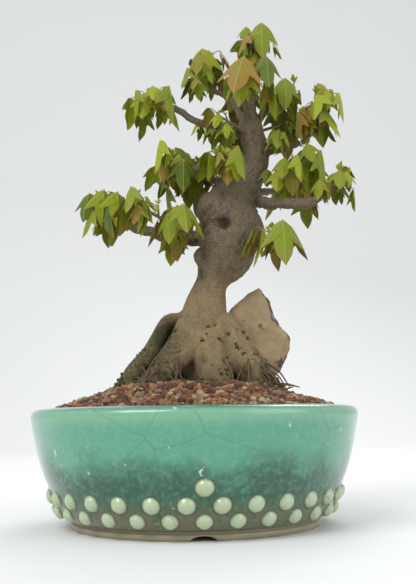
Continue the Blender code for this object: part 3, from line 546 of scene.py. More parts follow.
class Growth:
    """One mass of foliage as it grows by its seeded rule: its twigs and its leaves."""

    def __init__(self, mass: Mass, limbs: Limbs, lines: dict[str, list]) -> None:
        """Grows the stem, the shoots and their leaves.

        Args:
            mass: The mass.
            limbs: What twigs and leaves keep clear of.
            lines: The limbs' centre lines.
        """
        self.mass = mass
        self.limbs = limbs
        self.space = Space(mass, MASSES)
        self.twigs: list[list] = []
        self.leaves: list[Leaf] = []
        self.taken: list[np.ndarray] = []
        draw = random.Random(f"{mass.name} {mass.seed}")
        end, along = self.grow_stem(draw, lines)
        self.hang(draw, mass.leaf, end, along, 2, 0.0)
        for k in range(mass.shoots):
            self.grow_shoot(draw, k)

    def grow_stem(self, draw: random.Random, lines: dict[str, list]) -> tuple[Vector, Vector]:
        """Grows the stem from its host over the heart of the mass.

        Args:
            draw: The source of chance.
            lines: The limbs' centre lines.

        Returns:
            The stem's end and the way it runs there.
        """
        mass = self.mass
        heart = Vector(mass.heart) + Vector((0, 0, STEM_LIFT * mass.radius))
        ahead = Vector()
        if mass.host == "trunk":
            start = Vector(mass.start)
            thick = TWIG_THICK * STEM_FOOT
        else:
            tip, before = Vector(lines[mass.host][-1][:3]), Vector(lines[mass.host][-2][:3])
            ahead = (tip - before).normalized()
            start = tip + ahead * GAP
            thick = lines[mass.host][-1][3]
        reach = heart - start
        end = heart + reach.normalized() * mass.radius * draw.uniform(*STEM_PAST)
        for _ in range(TRIES):
            bend = Vector([draw.uniform(-STEM_BEND, STEM_BEND) for _ in range(3)]) * mass.radius
            if mass.host == "trunk":
                lead = [start]
                middle = start.lerp(end, STEM_MIDDLE) + bend
            else:
                lead = [start, start + ahead * STEM_LEAD]
                middle = start + ahead * reach.length * 0.5
                middle = middle.lerp(start.lerp(end, 0.5), 0.5) + bend
            stem = [*lead[:-1], *smooth_line((lead[-1], middle, end), STEM_STEP)]
            if self.limbs.clearance([p[:3] for p in stem[2:]], mass.host) > LIMB_GAP + thick:
                break
        last = len(stem) - 1
        self.twigs.append([(*p, thick + (TWIG_THIN - thick) * i / last) for i, p in enumerate(stem)])
        return end, (end - middle).normalized()

    def grow_shoot(self, draw: random.Random, k: int) -> None:
        """Grows one shoot from the stem, with a pair of leaves.

        Args:
            draw: The source of chance.
            k: The shoot's number.
        """
        mass = self.mass
        stem = self.twigs[0]
        last = len(stem) - 1
        share = SHOOT_FROM + SHOOT_OVER * (k + draw.random() * SHOOT_WANDER) / mass.shoots
        spot = share * last
        low = min(int(spot), last - 1)
        a, b = Vector(stem[low][:3]), Vector(stem[low + 1][:3])
        root = a.lerp(b, spot - low)
        run = (b - a).normalized()
        for _ in range(TRIES):
            turn = SHOOT_TURN * k + draw.uniform(-SHOOT_SWING, SHOOT_SWING) + mass.seed
            out = turned_about(run.orthogonal().normalized(), run, turn)
            lean = run * draw.uniform(*SHOOT_AHEAD)
            way = (out + lean + Vector((0, 0, draw.uniform(*SHOOT_RISE)))).normalized()
            end = root + way * mass.radius * draw.uniform(*SHOOT_REACH)
            samples = [tuple(root.lerp(end, s)) for s in STALK_SAMPLES]
            clear = LIMB_GAP + TWIG_THIN
            if self.space.holds(samples, SHOOT_MARGIN) and self.limbs.clearance(samples) > clear:
                self.twigs.append([(*root, TWIG_THIN), (*end, TWIG_THIN * SHOOT_TAPER)])
                self.hang(draw, mass.leaf, end, way, 2, PAIR_TURN * k)
                break

    def hang(self, draw: random.Random, sizes: tuple, end: Vector, way: Vector, count: int,
             turn: float) -> None:
        """Hangs leaves at the end of a twig, each in the first free place that it tries.

        Args:
            draw: The source of chance.
            sizes: The shortest and the longest leaf.
            end: The twig's end.
            way: The way the twig runs.
            count: How many leaves.
            turn: Where they point if the twig stands upright, in radians.
        """
        small, large = sizes
        flat = Vector((way.x, way.y, 0.0))
        heading = math.atan2(flat.y, flat.x) if flat.length > UPRIGHT else turn
        for side in range(count):
            for attempt in range(TRIES):
                swing = (1 if side % 2 else -1) * draw.uniform(*LEAF_SWING)
                swing += (attempt // RETRY_GROUP) * draw.uniform(-RETRY_SWING, RETRY_SWING)
                out = Vector((math.cos(heading + swing), math.sin(heading + swing), 0))
                length = draw.uniform(small, large) * (1 - RETRY_SHRINK * attempt)
                rise = Vector((0, 0, draw.uniform(*STALK_RISE)))
                stalk = (out + rise).normalized() * length * draw.uniform(*STALK_REACH)
                droop = math.radians(draw.uniform(*LEAF_DROOP))
                along = (out * math.cos(droop) - Vector((0, 0, math.sin(droop)))).normalized()
                up = (out * math.sin(droop) + Vector((0, 0, math.cos(droop)))).normalized()
                up = turned_about(up, along, draw.uniform(-LEAF_ROLL, LEAF_ROLL))
                root = end - way * STALK_APART * (side + STALK_FIRST)
                leaf = Leaf(root, root + stalk, along, up, length)
                if self.free(leaf):
                    self.leaves.append(leaf)
                    self.taken.append(np.array(leaf.samples()))
                    break

    def free(self, leaf: Leaf) -> bool:
        """Whether a leaf keeps to the mass's space, clear of the limbs and of the other leaves.

        Args:
            leaf: The leaf.

        Returns:
            True if it does.
        """
        samples = leaf.samples()
        if not self.space.holds(samples, SPACE_MARGIN) or self.limbs.clearance(samples) < LIMB_GAP:
            return False
        if not self.taken:
            return True
        gaps = np.linalg.norm(np.array(samples)[:, None, :] - np.concatenate(self.taken)[None], axis=2)
        return bool(gaps.min() >= LEAF_GAP)

    def fill(self, draw: random.Random, tries: int, sizes: tuple) -> None:
        """Hangs smaller leaves at places along all twigs.

        Args:
            draw: The source of chance.
            tries: How many leaves it tries.
            sizes: The shortest and the longest of them.
        """
        for _ in range(tries):
            twig = draw.choice(self.twigs)
            spot = draw.uniform(FILL_FROM, 1.0) * (len(twig) - 1)
            low = min(int(spot), len(twig) - 2)
            a, b = Vector(twig[low][:3]), Vector(twig[low + 1][:3])
            way = (b - a).normalized()
            self.hang(draw, sizes, a.lerp(b, spot - low), way, 1, draw.uniform(0, FULL_TURN))


# Shader helpers and the groups that several finishes share.

Value = bpy.types.NodeSocket | float | tuple


@dataclass(frozen=True)
class Span:
    """How a value is mapped, smoothly and clamped: the two ends it runs between, and what they become."""
    low: float
    high: float
    to_low: float = 0.0
    to_high: float = 1.0


class Nodes:
    """A thin helper that adds nodes to one node tree and links them."""

    def __init__(self, tree: bpy.types.NodeTree) -> None:
        """Keeps the tree to add to."""
        self.tree = tree

    def add(self, kind: str, **settings: object) -> bpy.types.Node:
        """Adds a node.

        Args:
            kind: The node's type name.
            **settings: Attributes to set on it.

        Returns:
            The new node.
        """
        node = self.tree.nodes.new(kind)
        for name, value in settings.items():
            setattr(node, name, value)
        return node

    def feed(self, socket: bpy.types.NodeSocket, value: Value) -> None:
        """Links an output to a socket, or sets the socket to a plain value.

        Args:
            socket: The socket.
            value: An output, a number, or the parts of a colour or a place.
        """
        if isinstance(value, bpy.types.NodeSocket):
            self.tree.links.new(value, socket)
        elif hasattr(socket.default_value, "__len__") and len(socket.default_value) == 4 and len(value) == 3:
            socket.default_value = (*value, 1.0)
        else:
            socket.default_value = value

    def maths(self, operation: str, a: Value, b: Value = 0.0) -> bpy.types.NodeSocket:
        """A Math node on two values.

        Args:
            operation: The operation's name.
            a: First number or output.
            b: Second number or output.

        Returns:
            Its output.
        """
        node = self.add("ShaderNodeMath", operation=operation)
        self.feed(node.inputs[0], a)
        self.feed(node.inputs[1], b)
        return node.outputs[0]

    def span(self, value: Value, ends: Span) -> bpy.types.NodeSocket:
        """Maps a value from one span to another.

        Args:
            value: The output to map.
            ends: The two spans.

        Returns:
            The mapped output.
        """
        node = self.add("ShaderNodeMapRange", interpolation_type="SMOOTHSTEP")
        self.feed(node.inputs["Value"], value)
        node.inputs["From Min"].default_value = ends.low
        node.inputs["From Max"].default_value = ends.high
        node.inputs["To Min"].default_value = ends.to_low
        node.inputs["To Max"].default_value = ends.to_high
        return node.outputs["Result"]

    def mix(self, share: Value, a: Value, b: Value) -> bpy.types.NodeSocket:
        """Mixes two colours.

        Args:
            share: How much of the second, as a number or an output.
            a: First colour or output.
            b: Second colour or output.

        Returns:
            The mixed colour.
        """
        node = self.add("ShaderNodeMix", data_type="RGBA", blend_type="MIX")
        self.feed(node.inputs[0], share)
        self.feed(node.inputs[6], a)
        self.feed(node.inputs[7], b)
        return node.outputs[2]

    def noise(self, where: Value, scale: float, detail: float = 4.0,
              rough: float = 0.55) -> bpy.types.NodeSocket:
        """A noise value at a place.

        Args:
            where: The place.
            scale: How many waves to a step.
            detail: How many finer layers it has.
            rough: How strong each finer layer is.

        Returns:
            The value's output.
        """
        node = self.add("ShaderNodeTexNoise")
        self.feed(node.inputs["Vector"], where)
        node.inputs["Scale"].default_value = scale
        node.inputs["Detail"].default_value = detail
        node.inputs["Roughness"].default_value = rough
        return node.outputs["Fac"]

    def cells(self, where: Value, scale: float, feature: str = "F1") -> bpy.types.NodeSocket:
        """The distance within a pattern of cells.

        Args:
            where: The place.
            scale: How many cells to a step.
            feature: Which distance it is.

        Returns:
            The distance's output.
        """
        node = self.add("ShaderNodeTexVoronoi", feature=feature)
        self.feed(node.inputs["Vector"], where)
        node.inputs["Scale"].default_value = scale
        return node.outputs["Distance"]


def shared_group(name: str, outputs: tuple[str, ...]) -> tuple[Nodes, bpy.types.NodeSocket, bpy.types.Node]:
    """Starts a shader group that takes a place and a pattern size and puts out values.

    Args:
        name: The group's name.
        outputs: Names of its value outputs.

    Returns:
        The helper for its nodes, the place scaled to the pattern, and its output node.
    """
    tree = bpy.data.node_groups.new(name, "ShaderNodeTree")
    tree.interface.new_socket("Place", in_out="INPUT", socket_type="NodeSocketVector")
    tree.interface.new_socket("Size", in_out="INPUT", socket_type="NodeSocketFloat")
    for output in outputs:
        tree.interface.new_socket(output, in_out="OUTPUT", socket_type="NodeSocketFloat")
    nodes = Nodes(tree)
    start = nodes.add("NodeGroupInput")
    scaled = nodes.add("ShaderNodeVectorMath", operation="SCALE")
    nodes.feed(scaled.inputs[0], start.outputs["Place"])
    nodes.feed(scaled.inputs["Scale"], start.outputs["Size"])
    return nodes, scaled.outputs[0], nodes.add("NodeGroupOutput")


@dataclass(frozen=True)
class Mottle:
    """The shared group of broad patches, fine grain and pits, used by bark, stone, soil, leaves and glaze."""
    patches: Span = Span(0.35, 0.65)
    patch_scale: float = 1.0
    grain_scale: float = 9.0
    grain_detail: float = 6.0
    grain_rough: float = 0.65
    pits: Span = Span(0.10, 0.42)
    pit_scale: float = 6.0

    def build(self) -> bpy.types.NodeTree:
        """Builds the group.

        Returns:
            The group, with outputs Patches, Grain and Pits.
        """
        nodes, spot, end = shared_group("mottle", ("Patches", "Grain", "Pits"))
        nodes.feed(end.inputs["Patches"], nodes.span(nodes.noise(spot, self.patch_scale), self.patches))
        grain = nodes.noise(spot, self.grain_scale, self.grain_detail, self.grain_rough)
        nodes.feed(end.inputs["Grain"], grain)
        nodes.feed(end.inputs["Pits"], nodes.span(nodes.cells(spot, self.pit_scale), self.pits))
        return nodes.tree


@dataclass(frozen=True)
class Crackle:
    """The shared group of thin cracks and small specks, used by the glaze and the stone."""
    cracks: Span = Span(0.0, 0.010, 1.0, 0.0)
    crack_scale: float = 1.0
    specks: Span = Span(0.70, 0.74)
    speck_scale: float = 7.0
    speck_detail: float = 3.0
    speck_rough: float = 0.6

    def build(self) -> bpy.types.NodeTree:
        """Builds the group.

        Returns:
            The group, with outputs Cracks and Specks.
        """
        nodes, spot, end = shared_group("specks", ("Cracks", "Specks"))
        edge = nodes.cells(spot, self.crack_scale, "DISTANCE_TO_EDGE")
        nodes.feed(end.inputs["Cracks"], nodes.span(edge, self.cracks))
        speck = nodes.noise(spot, self.speck_scale, self.speck_detail, self.speck_rough)
        nodes.feed(end.inputs["Specks"], nodes.span(speck, self.specks))
        return nodes.tree


@dataclass(frozen=True)
class Kit:
    """The shared shader groups."""
    mottle: bpy.types.NodeTree
    specks: bpy.types.NodeTree


class Shading:
    """One material as it is made: its shader and the helper that feeds it."""

    def __init__(self, name: str, roughness: float) -> None:
        """Makes the material.

        Args:
            name: The material's name.
            roughness: Its plain roughness.
        """
        self.material = bpy.data.materials.new(name)
        self.material.use_nodes = True
        self.nodes = Nodes(self.material.node_tree)
        self.shader = self.material.node_tree.nodes["Principled BSDF"]
        self.dress("Roughness", roughness)
        self.place = self.nodes.add("ShaderNodeTexCoord").outputs["Object"]

    def parts(self, vector: bpy.types.NodeSocket) -> tuple[bpy.types.NodeSocket, ...]:
        """Takes a vector apart.

        Args:
            vector: The vector's output.

        Returns:
            The outputs of its three parts.
        """
        node = self.nodes.add("ShaderNodeSeparateXYZ")
        self.nodes.feed(node.inputs[0], vector)
        return tuple(node.outputs)

    def attribute(self, name: str, output: str = "Fac") -> bpy.types.NodeSocket:
        """The value or the vector of a named attribute of the mesh."""
        return self.nodes.add("ShaderNodeAttribute", attribute_name=name).outputs[output]

    def group(self, tree: bpy.types.NodeTree, size: float) -> dict[str, bpy.types.NodeSocket]:
        """Places a shared group at a pattern size.

        Args:
            tree: The group.
            size: Its scale, in patterns to the metre.

        Returns:
            The group's outputs, by name.
        """
        node = self.nodes.add("ShaderNodeGroup", node_tree=tree)
        self.nodes.feed(node.inputs["Place"], self.place)
        node.inputs["Size"].default_value = size
        return {output.name: output for output in node.outputs}

    def dress(self, name: str, value: Value) -> None:
        """Feeds one input of the shader, or sets it."""
        self.nodes.feed(self.shader.inputs[name], value)

    def bump(self, value: Value, distance: float, strength: float) -> None:
        """Feeds the normal from a height.

        Args:
            value: The height's output.
            distance: Its depth in metres.
            strength: Its share.
        """
        node = self.nodes.add("ShaderNodeBump")
        node.inputs["Strength"].default_value = strength
        node.inputs["Distance"].default_value = distance
        self.nodes.feed(node.inputs["Height"], value)
        self.dress("Normal", node.outputs[0])


# The finishes. Heights and bump depths are in metres, pattern sizes in patterns to the metre, and a
# Span says between which values of a mask or a height a colour comes in, and how strongly.


@dataclass(frozen=True)
class AquaGlaze:
    """The aqua-green crackled glaze, deeper below, paler in a band under the rim and pale on its bosses."""
    name: str = "aqua_glaze"
    roughness: float = 0.16
    mottle_size: float = 28.0
    crackle_size: float = 15.0
    wave: float = 0.014             # how far the patches shift the change from deep to pale
    deep: Colour = (0.018, 0.092, 0.052)
    pale: Colour = (0.085, 0.320, 0.210)
    pale_above: Span = Span(0.040, 0.064)
    shoulder: Colour = (0.230, 0.440, 0.270)
    shoulder_above: Span = Span(0.070, 0.080, 0.0, 0.55)
    cloud: Colour = (0.220, 0.470, 0.330)
    cloud_grain: Span = Span(0.42, 0.75, 0.0, 0.35)
    lip: Colour = (0.085, 0.250, 0.175)
    lip_above: Span = Span(0.0815, 0.0838)
    dirt: Colour = (0.165, 0.130, 0.060)
    dirt_below: Span = Span(0.030, 0.012, 0.0, 0.75)
    stain: Colour = (0.050, 0.060, 0.022)
    stain_mask: Span = Span(0.02, 0.16, 0.0, 0.8)
    boss: Colour = (0.430, 0.520, 0.330)
    boss_mask: Span = Span(0.14, 0.45)
    crack: Colour = (0.030, 0.110, 0.070)
    crack_share: float = 0.30
    speck: Colour = (0.620, 0.640, 0.520)
    clay: Colour = (0.330, 0.285, 0.185)
    clay_below: Span = Span(0.0062, 0.0050)
    clay_roughness: float = 0.65
    coat: float = 0.5
    coat_roughness: float = 0.06
    bump_depth: float = 0.0004
    bump_share: float = 0.35

    def material(self, kit: Kit) -> bpy.types.Material:
        """Makes the material.

        Args:
            kit: The shared groups.

        Returns:
            The material.
        """
        made = Shading(self.name, self.roughness)
        nodes = made.nodes
        mottle = made.group(kit.mottle, self.mottle_size)
        specks = made.group(kit.specks, self.crackle_size)
        height = made.parts(made.place)[2]
        level = nodes.maths("ADD", height, nodes.maths("MULTIPLY", mottle["Patches"], self.wave))
        base = nodes.mix(nodes.span(level, self.pale_above), self.deep, self.pale)
        base = nodes.mix(nodes.span(height, self.shoulder_above), base, self.shoulder)
        base = nodes.mix(nodes.span(mottle["Grain"], self.cloud_grain), base, self.cloud)
        base = nodes.mix(nodes.span(height, self.lip_above), base, self.lip)
        dirt = nodes.maths("MULTIPLY", nodes.span(height, self.dirt_below), mottle["Pits"])
        base = nodes.mix(dirt, base, self.dirt)
        boss = made.attribute("boss")
        base = nodes.mix(nodes.span(boss, self.stain_mask), base, self.stain)
        base = nodes.mix(nodes.span(boss, self.boss_mask), base, self.boss)
        base = nodes.mix(nodes.maths("MULTIPLY", specks["Cracks"], self.crack_share), base, self.crack)
        base = nodes.mix(specks["Specks"], base, self.speck)
        clay = nodes.span(height, self.clay_below)
        made.dress("Base Color", nodes.mix(clay, base, self.clay))
        made.dress("Roughness", nodes.span(clay, Span(0.0, 1.0, self.roughness, self.clay_roughness)))
        made.dress("Coat Weight", self.coat)
        made.dress("Coat Roughness", self.coat_roughness)
        made.bump(mottle["Grain"], self.bump_depth, self.bump_share)
        return made.material


@dataclass(frozen=True)
class MapleBark:
    """Grey-brown bark, tan and smooth low on the trunk, with painted shade in its hollows, damp and mossy at
    its foot.
    """
    name: str = "bark"
    roughness: float = 0.82
    coarse_size: float = 45.0
    fine_size: float = 160.0
    wave: float = 0.02              # how far the patches shift what changes with height
    speckle: Span = Span(0.36, 0.66)
    tan: tuple[Colour, Colour] = ((0.160, 0.098, 0.042), (0.430, 0.310, 0.160))
    grey: tuple[Colour, Colour] = ((0.036, 0.024, 0.013), (0.285, 0.215, 0.130))
    grey_above: Span = Span(0.165, 0.215)
    lichen: Colour = (0.175, 0.150, 0.085)
    lichen_share: float = 0.35
    # painted shade: near-black laid into the low parts of the relief, where the hollows fall in shadow
    hollow_shade: Colour = (0.026, 0.018, 0.010)
    hollow_shade_relief: Span = Span(0.62, 0.22, 0.0, 0.88)
    damp: tuple[Colour, Colour] = ((0.050, 0.032, 0.015), (0.070, 0.068, 0.018))
    damp_left_of: Span = Span(0.004, -0.022)
    damp_side_below: Span = Span(0.176, 0.150)
    damp_below: Span = Span(0.136, 0.112, 0.0, 0.9)
    damp_grain: Span = Span(0.35, 0.55, 0.35, 0.95)
    bump_depth: float = 0.0012
    bump_share: float = 0.8

    def material(self, kit: Kit) -> bpy.types.Material:
        """Makes the material.

        Args:
            kit: The shared groups.

        Returns:
            The material.
        """
        made = Shading(self.name, self.roughness)
        nodes = made.nodes
        coarse = made.group(kit.mottle, self.coarse_size)
        fine = made.group(kit.mottle, self.fine_size)
        across, _, height = made.parts(made.place)
        height = nodes.maths("ADD", height, nodes.maths("MULTIPLY", coarse["Patches"], self.wave))
        speckle = nodes.span(fine["Grain"], self.speckle)
        base = nodes.mix(nodes.span(height, self.grey_above), nodes.mix(speckle, *self.tan),
                         nodes.mix(speckle, *self.grey))
        base = nodes.mix(nodes.maths("MULTIPLY", coarse["Patches"], self.lichen_share), base, self.lichen)
        # painted shade in the low parts of the relief
        base = nodes.mix(nodes.span(made.attribute("relief"), self.hollow_shade_relief), base, self.hollow_shade)
        side = nodes.maths("MULTIPLY", nodes.span(across, self.damp_left_of),
                           nodes.span(height, self.damp_side_below))
        foot = nodes.maths("MAXIMUM", side, nodes.span(height, self.damp_below))
        damp = nodes.maths("MULTIPLY", foot, nodes.span(coarse["Grain"], self.damp_grain))
        made.dress("Base Color", nodes.mix(damp, base, nodes.mix(coarse["Patches"], *self.damp)))
        made.bump(fine["Grain"], self.bump_depth, self.bump_share)
        return made.material


@dataclass(frozen=True)
class ThinSkin:
    """The thin bark of twigs and fine roots, or the skin of leaf stalks."""
    name: str
    dark: Colour
    light: Colour
    roughness: float = 0.6
    grain_size: float = 300.0
    bump_depth: float = 0.0003
    bump_share: float = 0.5

    def material(self, kit: Kit) -> bpy.types.Material:
        """Makes the material.

        Args:
            kit: The shared groups.

        Returns:
            The material.
        """
        made = Shading(self.name, self.roughness)
        grain = made.group(kit.mottle, self.grain_size)["Grain"]
        made.dress("Base Color", made.nodes.mix(grain, self.dark, self.light))
        made.bump(grain, self.bump_depth, self.bump_share)
        return made.material


@dataclass(frozen=True)
class TanRock:
    """Tan rock with dark specks and a brown broken edge."""
    name: str = "tan_rock"
    roughness: float = 0.85
    coarse_size: float = 60.0
    fine_size: float = 260.0
    speck_size: float = 90.0
    dark: Colour = (0.285, 0.195, 0.100)
    light: Colour = (0.560, 0.430, 0.260)
    patch: Colour = (0.240, 0.165, 0.085)
    patch_share: float = 0.4
    speck: Colour = (0.070, 0.045, 0.025)
    speck_share: float = 0.8
    rim: Colour = (0.085, 0.045, 0.022)
    rim_mask: Span = Span(0.25, 0.6, 0.0, 0.92)
    bump_depth: float = 0.0010
    bump_share: float = 0.8

    def material(self, kit: Kit) -> bpy.types.Material:
        """Makes the material.

        Args:
            kit: The shared groups.

        Returns:
            The material.
        """
        made = Shading(self.name, self.roughness)
        nodes = made.nodes
        coarse = made.group(kit.mottle, self.coarse_size)
        fine = made.group(kit.mottle, self.fine_size)
        specks = made.group(kit.specks, self.speck_size)
        base = nodes.mix(fine["Grain"], self.dark, self.light)
        base = nodes.mix(nodes.maths("MULTIPLY", coarse["Patches"], self.patch_share), base, self.patch)
        base = nodes.mix(nodes.maths("MULTIPLY", specks["Specks"], self.speck_share), base, self.speck)
        base = nodes.mix(nodes.span(made.attribute("rim"), self.rim_mask), base, self.rim)
        made.dress("Base Color", base)
        made.bump(fine["Grain"], self.bump_depth, self.bump_share)
        return made.material


@dataclass(frozen=True)
class Crumbs:
    """Baked clay, packed earth or moss of one colour."""
    name: str
    tint: Colour
    roughness: float = 0.9
    grain_size: float = 220.0
    dark_share: float = 0.45
    light_share: float = 1.25
    bump_depth: float = 0.0008
    bump_share: float = 0.7

    def material(self, kit: Kit) -> bpy.types.Material:
        """Makes the material.

        Args:
            kit: The shared groups.

        Returns:
            The material.
        """
        made = Shading(self.name, self.roughness)
        grain = made.group(kit.mottle, self.grain_size)["Grain"]
        dark = tuple(self.dark_share * part for part in self.tint)
        light = tuple(self.light_share * part for part in self.tint)
        made.dress("Base Color", made.nodes.mix(grain, dark, light))
        made.bump(grain, self.bump_depth, self.bump_share)
        return made.material


@dataclass(frozen=True)
class LeafColour:
    """One leaf colour: the blade, its margin as the season turns it, and how much of that shows."""
    blade: Colour
    margin: Colour
    turned: float


class Tint(Enum):
    """The leaf colours, one of them a darker copy of the green that stands for painted shade."""
    SPRING = LeafColour((0.290, 0.350, 0.008), (0.300, 0.240, 0.030), 0.30)
    MEADOW = LeafColour((0.195, 0.255, 0.007), (0.260, 0.170, 0.022), 0.35)
    # a darker copy of the green leaf: painted shade, dealt to some sprays
    DEEP = LeafColour((0.095, 0.145, 0.006), (0.160, 0.105, 0.016), 0.40)
    OLIVE = LeafColour((0.215, 0.210, 0.010), (0.260, 0.130, 0.020), 0.60)
    BRONZE = LeafColour((0.250, 0.205, 0.024), (0.290, 0.130, 0.024), 0.75)


# The order in which sprays of leaves take their colours; the darker copy among them is painted shade.
SPRAY_TINTS = (Tint.SPRING, Tint.MEADOW, Tint.DEEP, Tint.MEADOW,
               Tint.OLIVE, Tint.SPRING, Tint.BRONZE, Tint.MEADOW)


@dataclass(frozen=True)
class LeafSkin:
    """A living leaf: its colour, pale ribs, and its margin turned by the season.

    Ribs and veins are told by the place on the blade, as shares of its length.
    """
    tint: Tint
    roughness: float = 0.5
    gloss: float = 0.3
    mottle_size: float = 120.0
    side_rib: float = 0.85          # how far a side rib goes across for each step along
    vein_count: float = 34.0
    shade_share: float = 0.55
    shade_grain: Span = Span(0.3, 0.7, 0.0, 0.5)
    vein_share: float = 1.5
    vein_mask: Span = Span(0.0, 0.22, 0.22, 0.0)
    margin_wave: float = 0.3
    margin_mask: Span = Span(0.55, 1.15)
    rib: Colour = (0.380, 0.420, 0.090)
    rib_mask: Span = Span(0.004, 0.016, 0.45, 0.0)
    rib_rise: Span = Span(0.0, 0.04, 1.0, 0.0)
    vein_rise: float = 0.25
    bump_depth: float = 0.0006
    bump_share: float = 0.6

    def material(self, kit: Kit) -> bpy.types.Material:
        """Makes the material.

        Args:
            kit: The shared groups.

        Returns:
            The material.
        """
        made = Shading("leaf_" + self.tint.name.lower(), self.roughness)
        nodes = made.nodes
        mottle = made.group(kit.mottle, self.mottle_size)
        blade = self.tint.value.blade
        along, side, rim = made.parts(made.attribute("blade", "Vector"))
        side = nodes.maths("ABSOLUTE", side)
        ribs = nodes.maths("SUBTRACT", nodes.maths("MULTIPLY", along, self.side_rib), side)
        ribs = nodes.maths("MINIMUM", nodes.maths("ABSOLUTE", ribs), side)
        veins = nodes.maths("MULTIPLY", nodes.maths("SUBTRACT", along, side), self.vein_count)
        veins = nodes.maths("ABSOLUTE", nodes.maths("SINE", veins))
        shade = tuple(self.shade_share * part for part in blade)
        base = nodes.mix(nodes.span(mottle["Grain"], self.shade_grain), blade, shade)
        light = tuple(min(1.0, self.vein_share * part) for part in blade)
        base = nodes.mix(nodes.span(veins, self.vein_mask), base, light)
        margin = nodes.maths("ADD", rim, nodes.maths("MULTIPLY", mottle["Patches"], self.margin_wave))
        turned = nodes.maths("MULTIPLY", nodes.span(margin, self.margin_mask), self.tint.value.turned)
        base = nodes.mix(turned, base, self.tint.value.margin)
        base = nodes.mix(nodes.span(ribs, self.rib_mask), base, self.rib)
        made.dress("Base Color", base)
        made.dress("Specular IOR Level", self.gloss)
        rise = nodes.maths("MULTIPLY", veins, self.vein_rise)
        made.bump(nodes.maths("ADD", nodes.span(ribs, self.rib_rise), rise), self.bump_depth, self.bump_share)
        return made.material


def put(name: str, shape: Shape, finish: bpy.types.Material, smooth: bool = True) -> bpy.types.Object:
    """Makes a piece from a shape in millimetres that rides on the body.

    Args:
        name: The piece's name.
        shape: Its points and faces.
        finish: Its material.
        smooth: Whether its faces are shaded smooth.

    Returns:
        The object.
    """
    points, faces = shape
    mesh = bpy.data.meshes.new(name)
    mesh.from_pydata([tuple(float(c) * MM for c in p) for p in points], [], faces)
    mesh.materials.append(finish)
    made = bpy.data.objects.new(name, mesh)
    bpy.context.scene.collection.objects.link(made)
    mesh.polygons.foreach_set("use_smooth", [smooth] * len(mesh.polygons))
    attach(made, BODY)
    LOG.info("%s: %d faces", name, len(mesh.polygons))
    return made


def fuse(made: bpy.types.Object, voxel: float, factor: float, rounds: int) -> bpy.types.Mesh:
    """Fuses a mesh into one even skin and eases it.

    Args:
        made: The mesh's object.
        voxel: How fine the skin is, in millimetres.
        factor: How far each round of easing moves a point.
        rounds: How many rounds of easing.

    Returns:
        The new mesh.
    """
    skin = made.modifiers.new("skin", "REMESH")
    skin.mode = "VOXEL"
    skin.voxel_size = voxel * MM
    ease = made.modifiers.new("ease", "SMOOTH")
    ease.factor = factor
    ease.iterations = rounds
    apply_modifiers(made)
    return made.data


def cover(made: bpy.types.Object, finish: bpy.types.Material) -> None:
    """Gives a fused mesh its one finish and smooth shading.

    Args:
        made: The mesh's object.
        finish: The finish.
    """
    made.data.polygons.foreach_set("use_smooth", [True] * len(made.data.polygons))
    made.data.materials.clear()
    made.data.materials.append(finish)
    LOG.info("%s: %d faces when fused", made.name, len(made.data.polygons))


def note(obj: bpy.types.Object, name: str, values: list | np.ndarray, kind: str = "FLOAT") -> None:
    """Stores a value for each point of a mesh.

    Args:
        obj: The object.
        name: The attribute's name.
        values: A number or a vector for each point.
        kind: The attribute's type.
    """
    attribute = obj.data.attributes.new(name, kind, "POINT")
    flat = np.array(values, np.float32).ravel()
    attribute.data.foreach_set("value" if kind == "FLOAT" else "vector", flat)


@dataclass(frozen=True)
class BossRow:
    """A ring of bosses: its height, their radius and rise, how many, and how far the first is turned."""
    level: float
    size: float
    rise: float
    count: int
    offset: float = 0.0


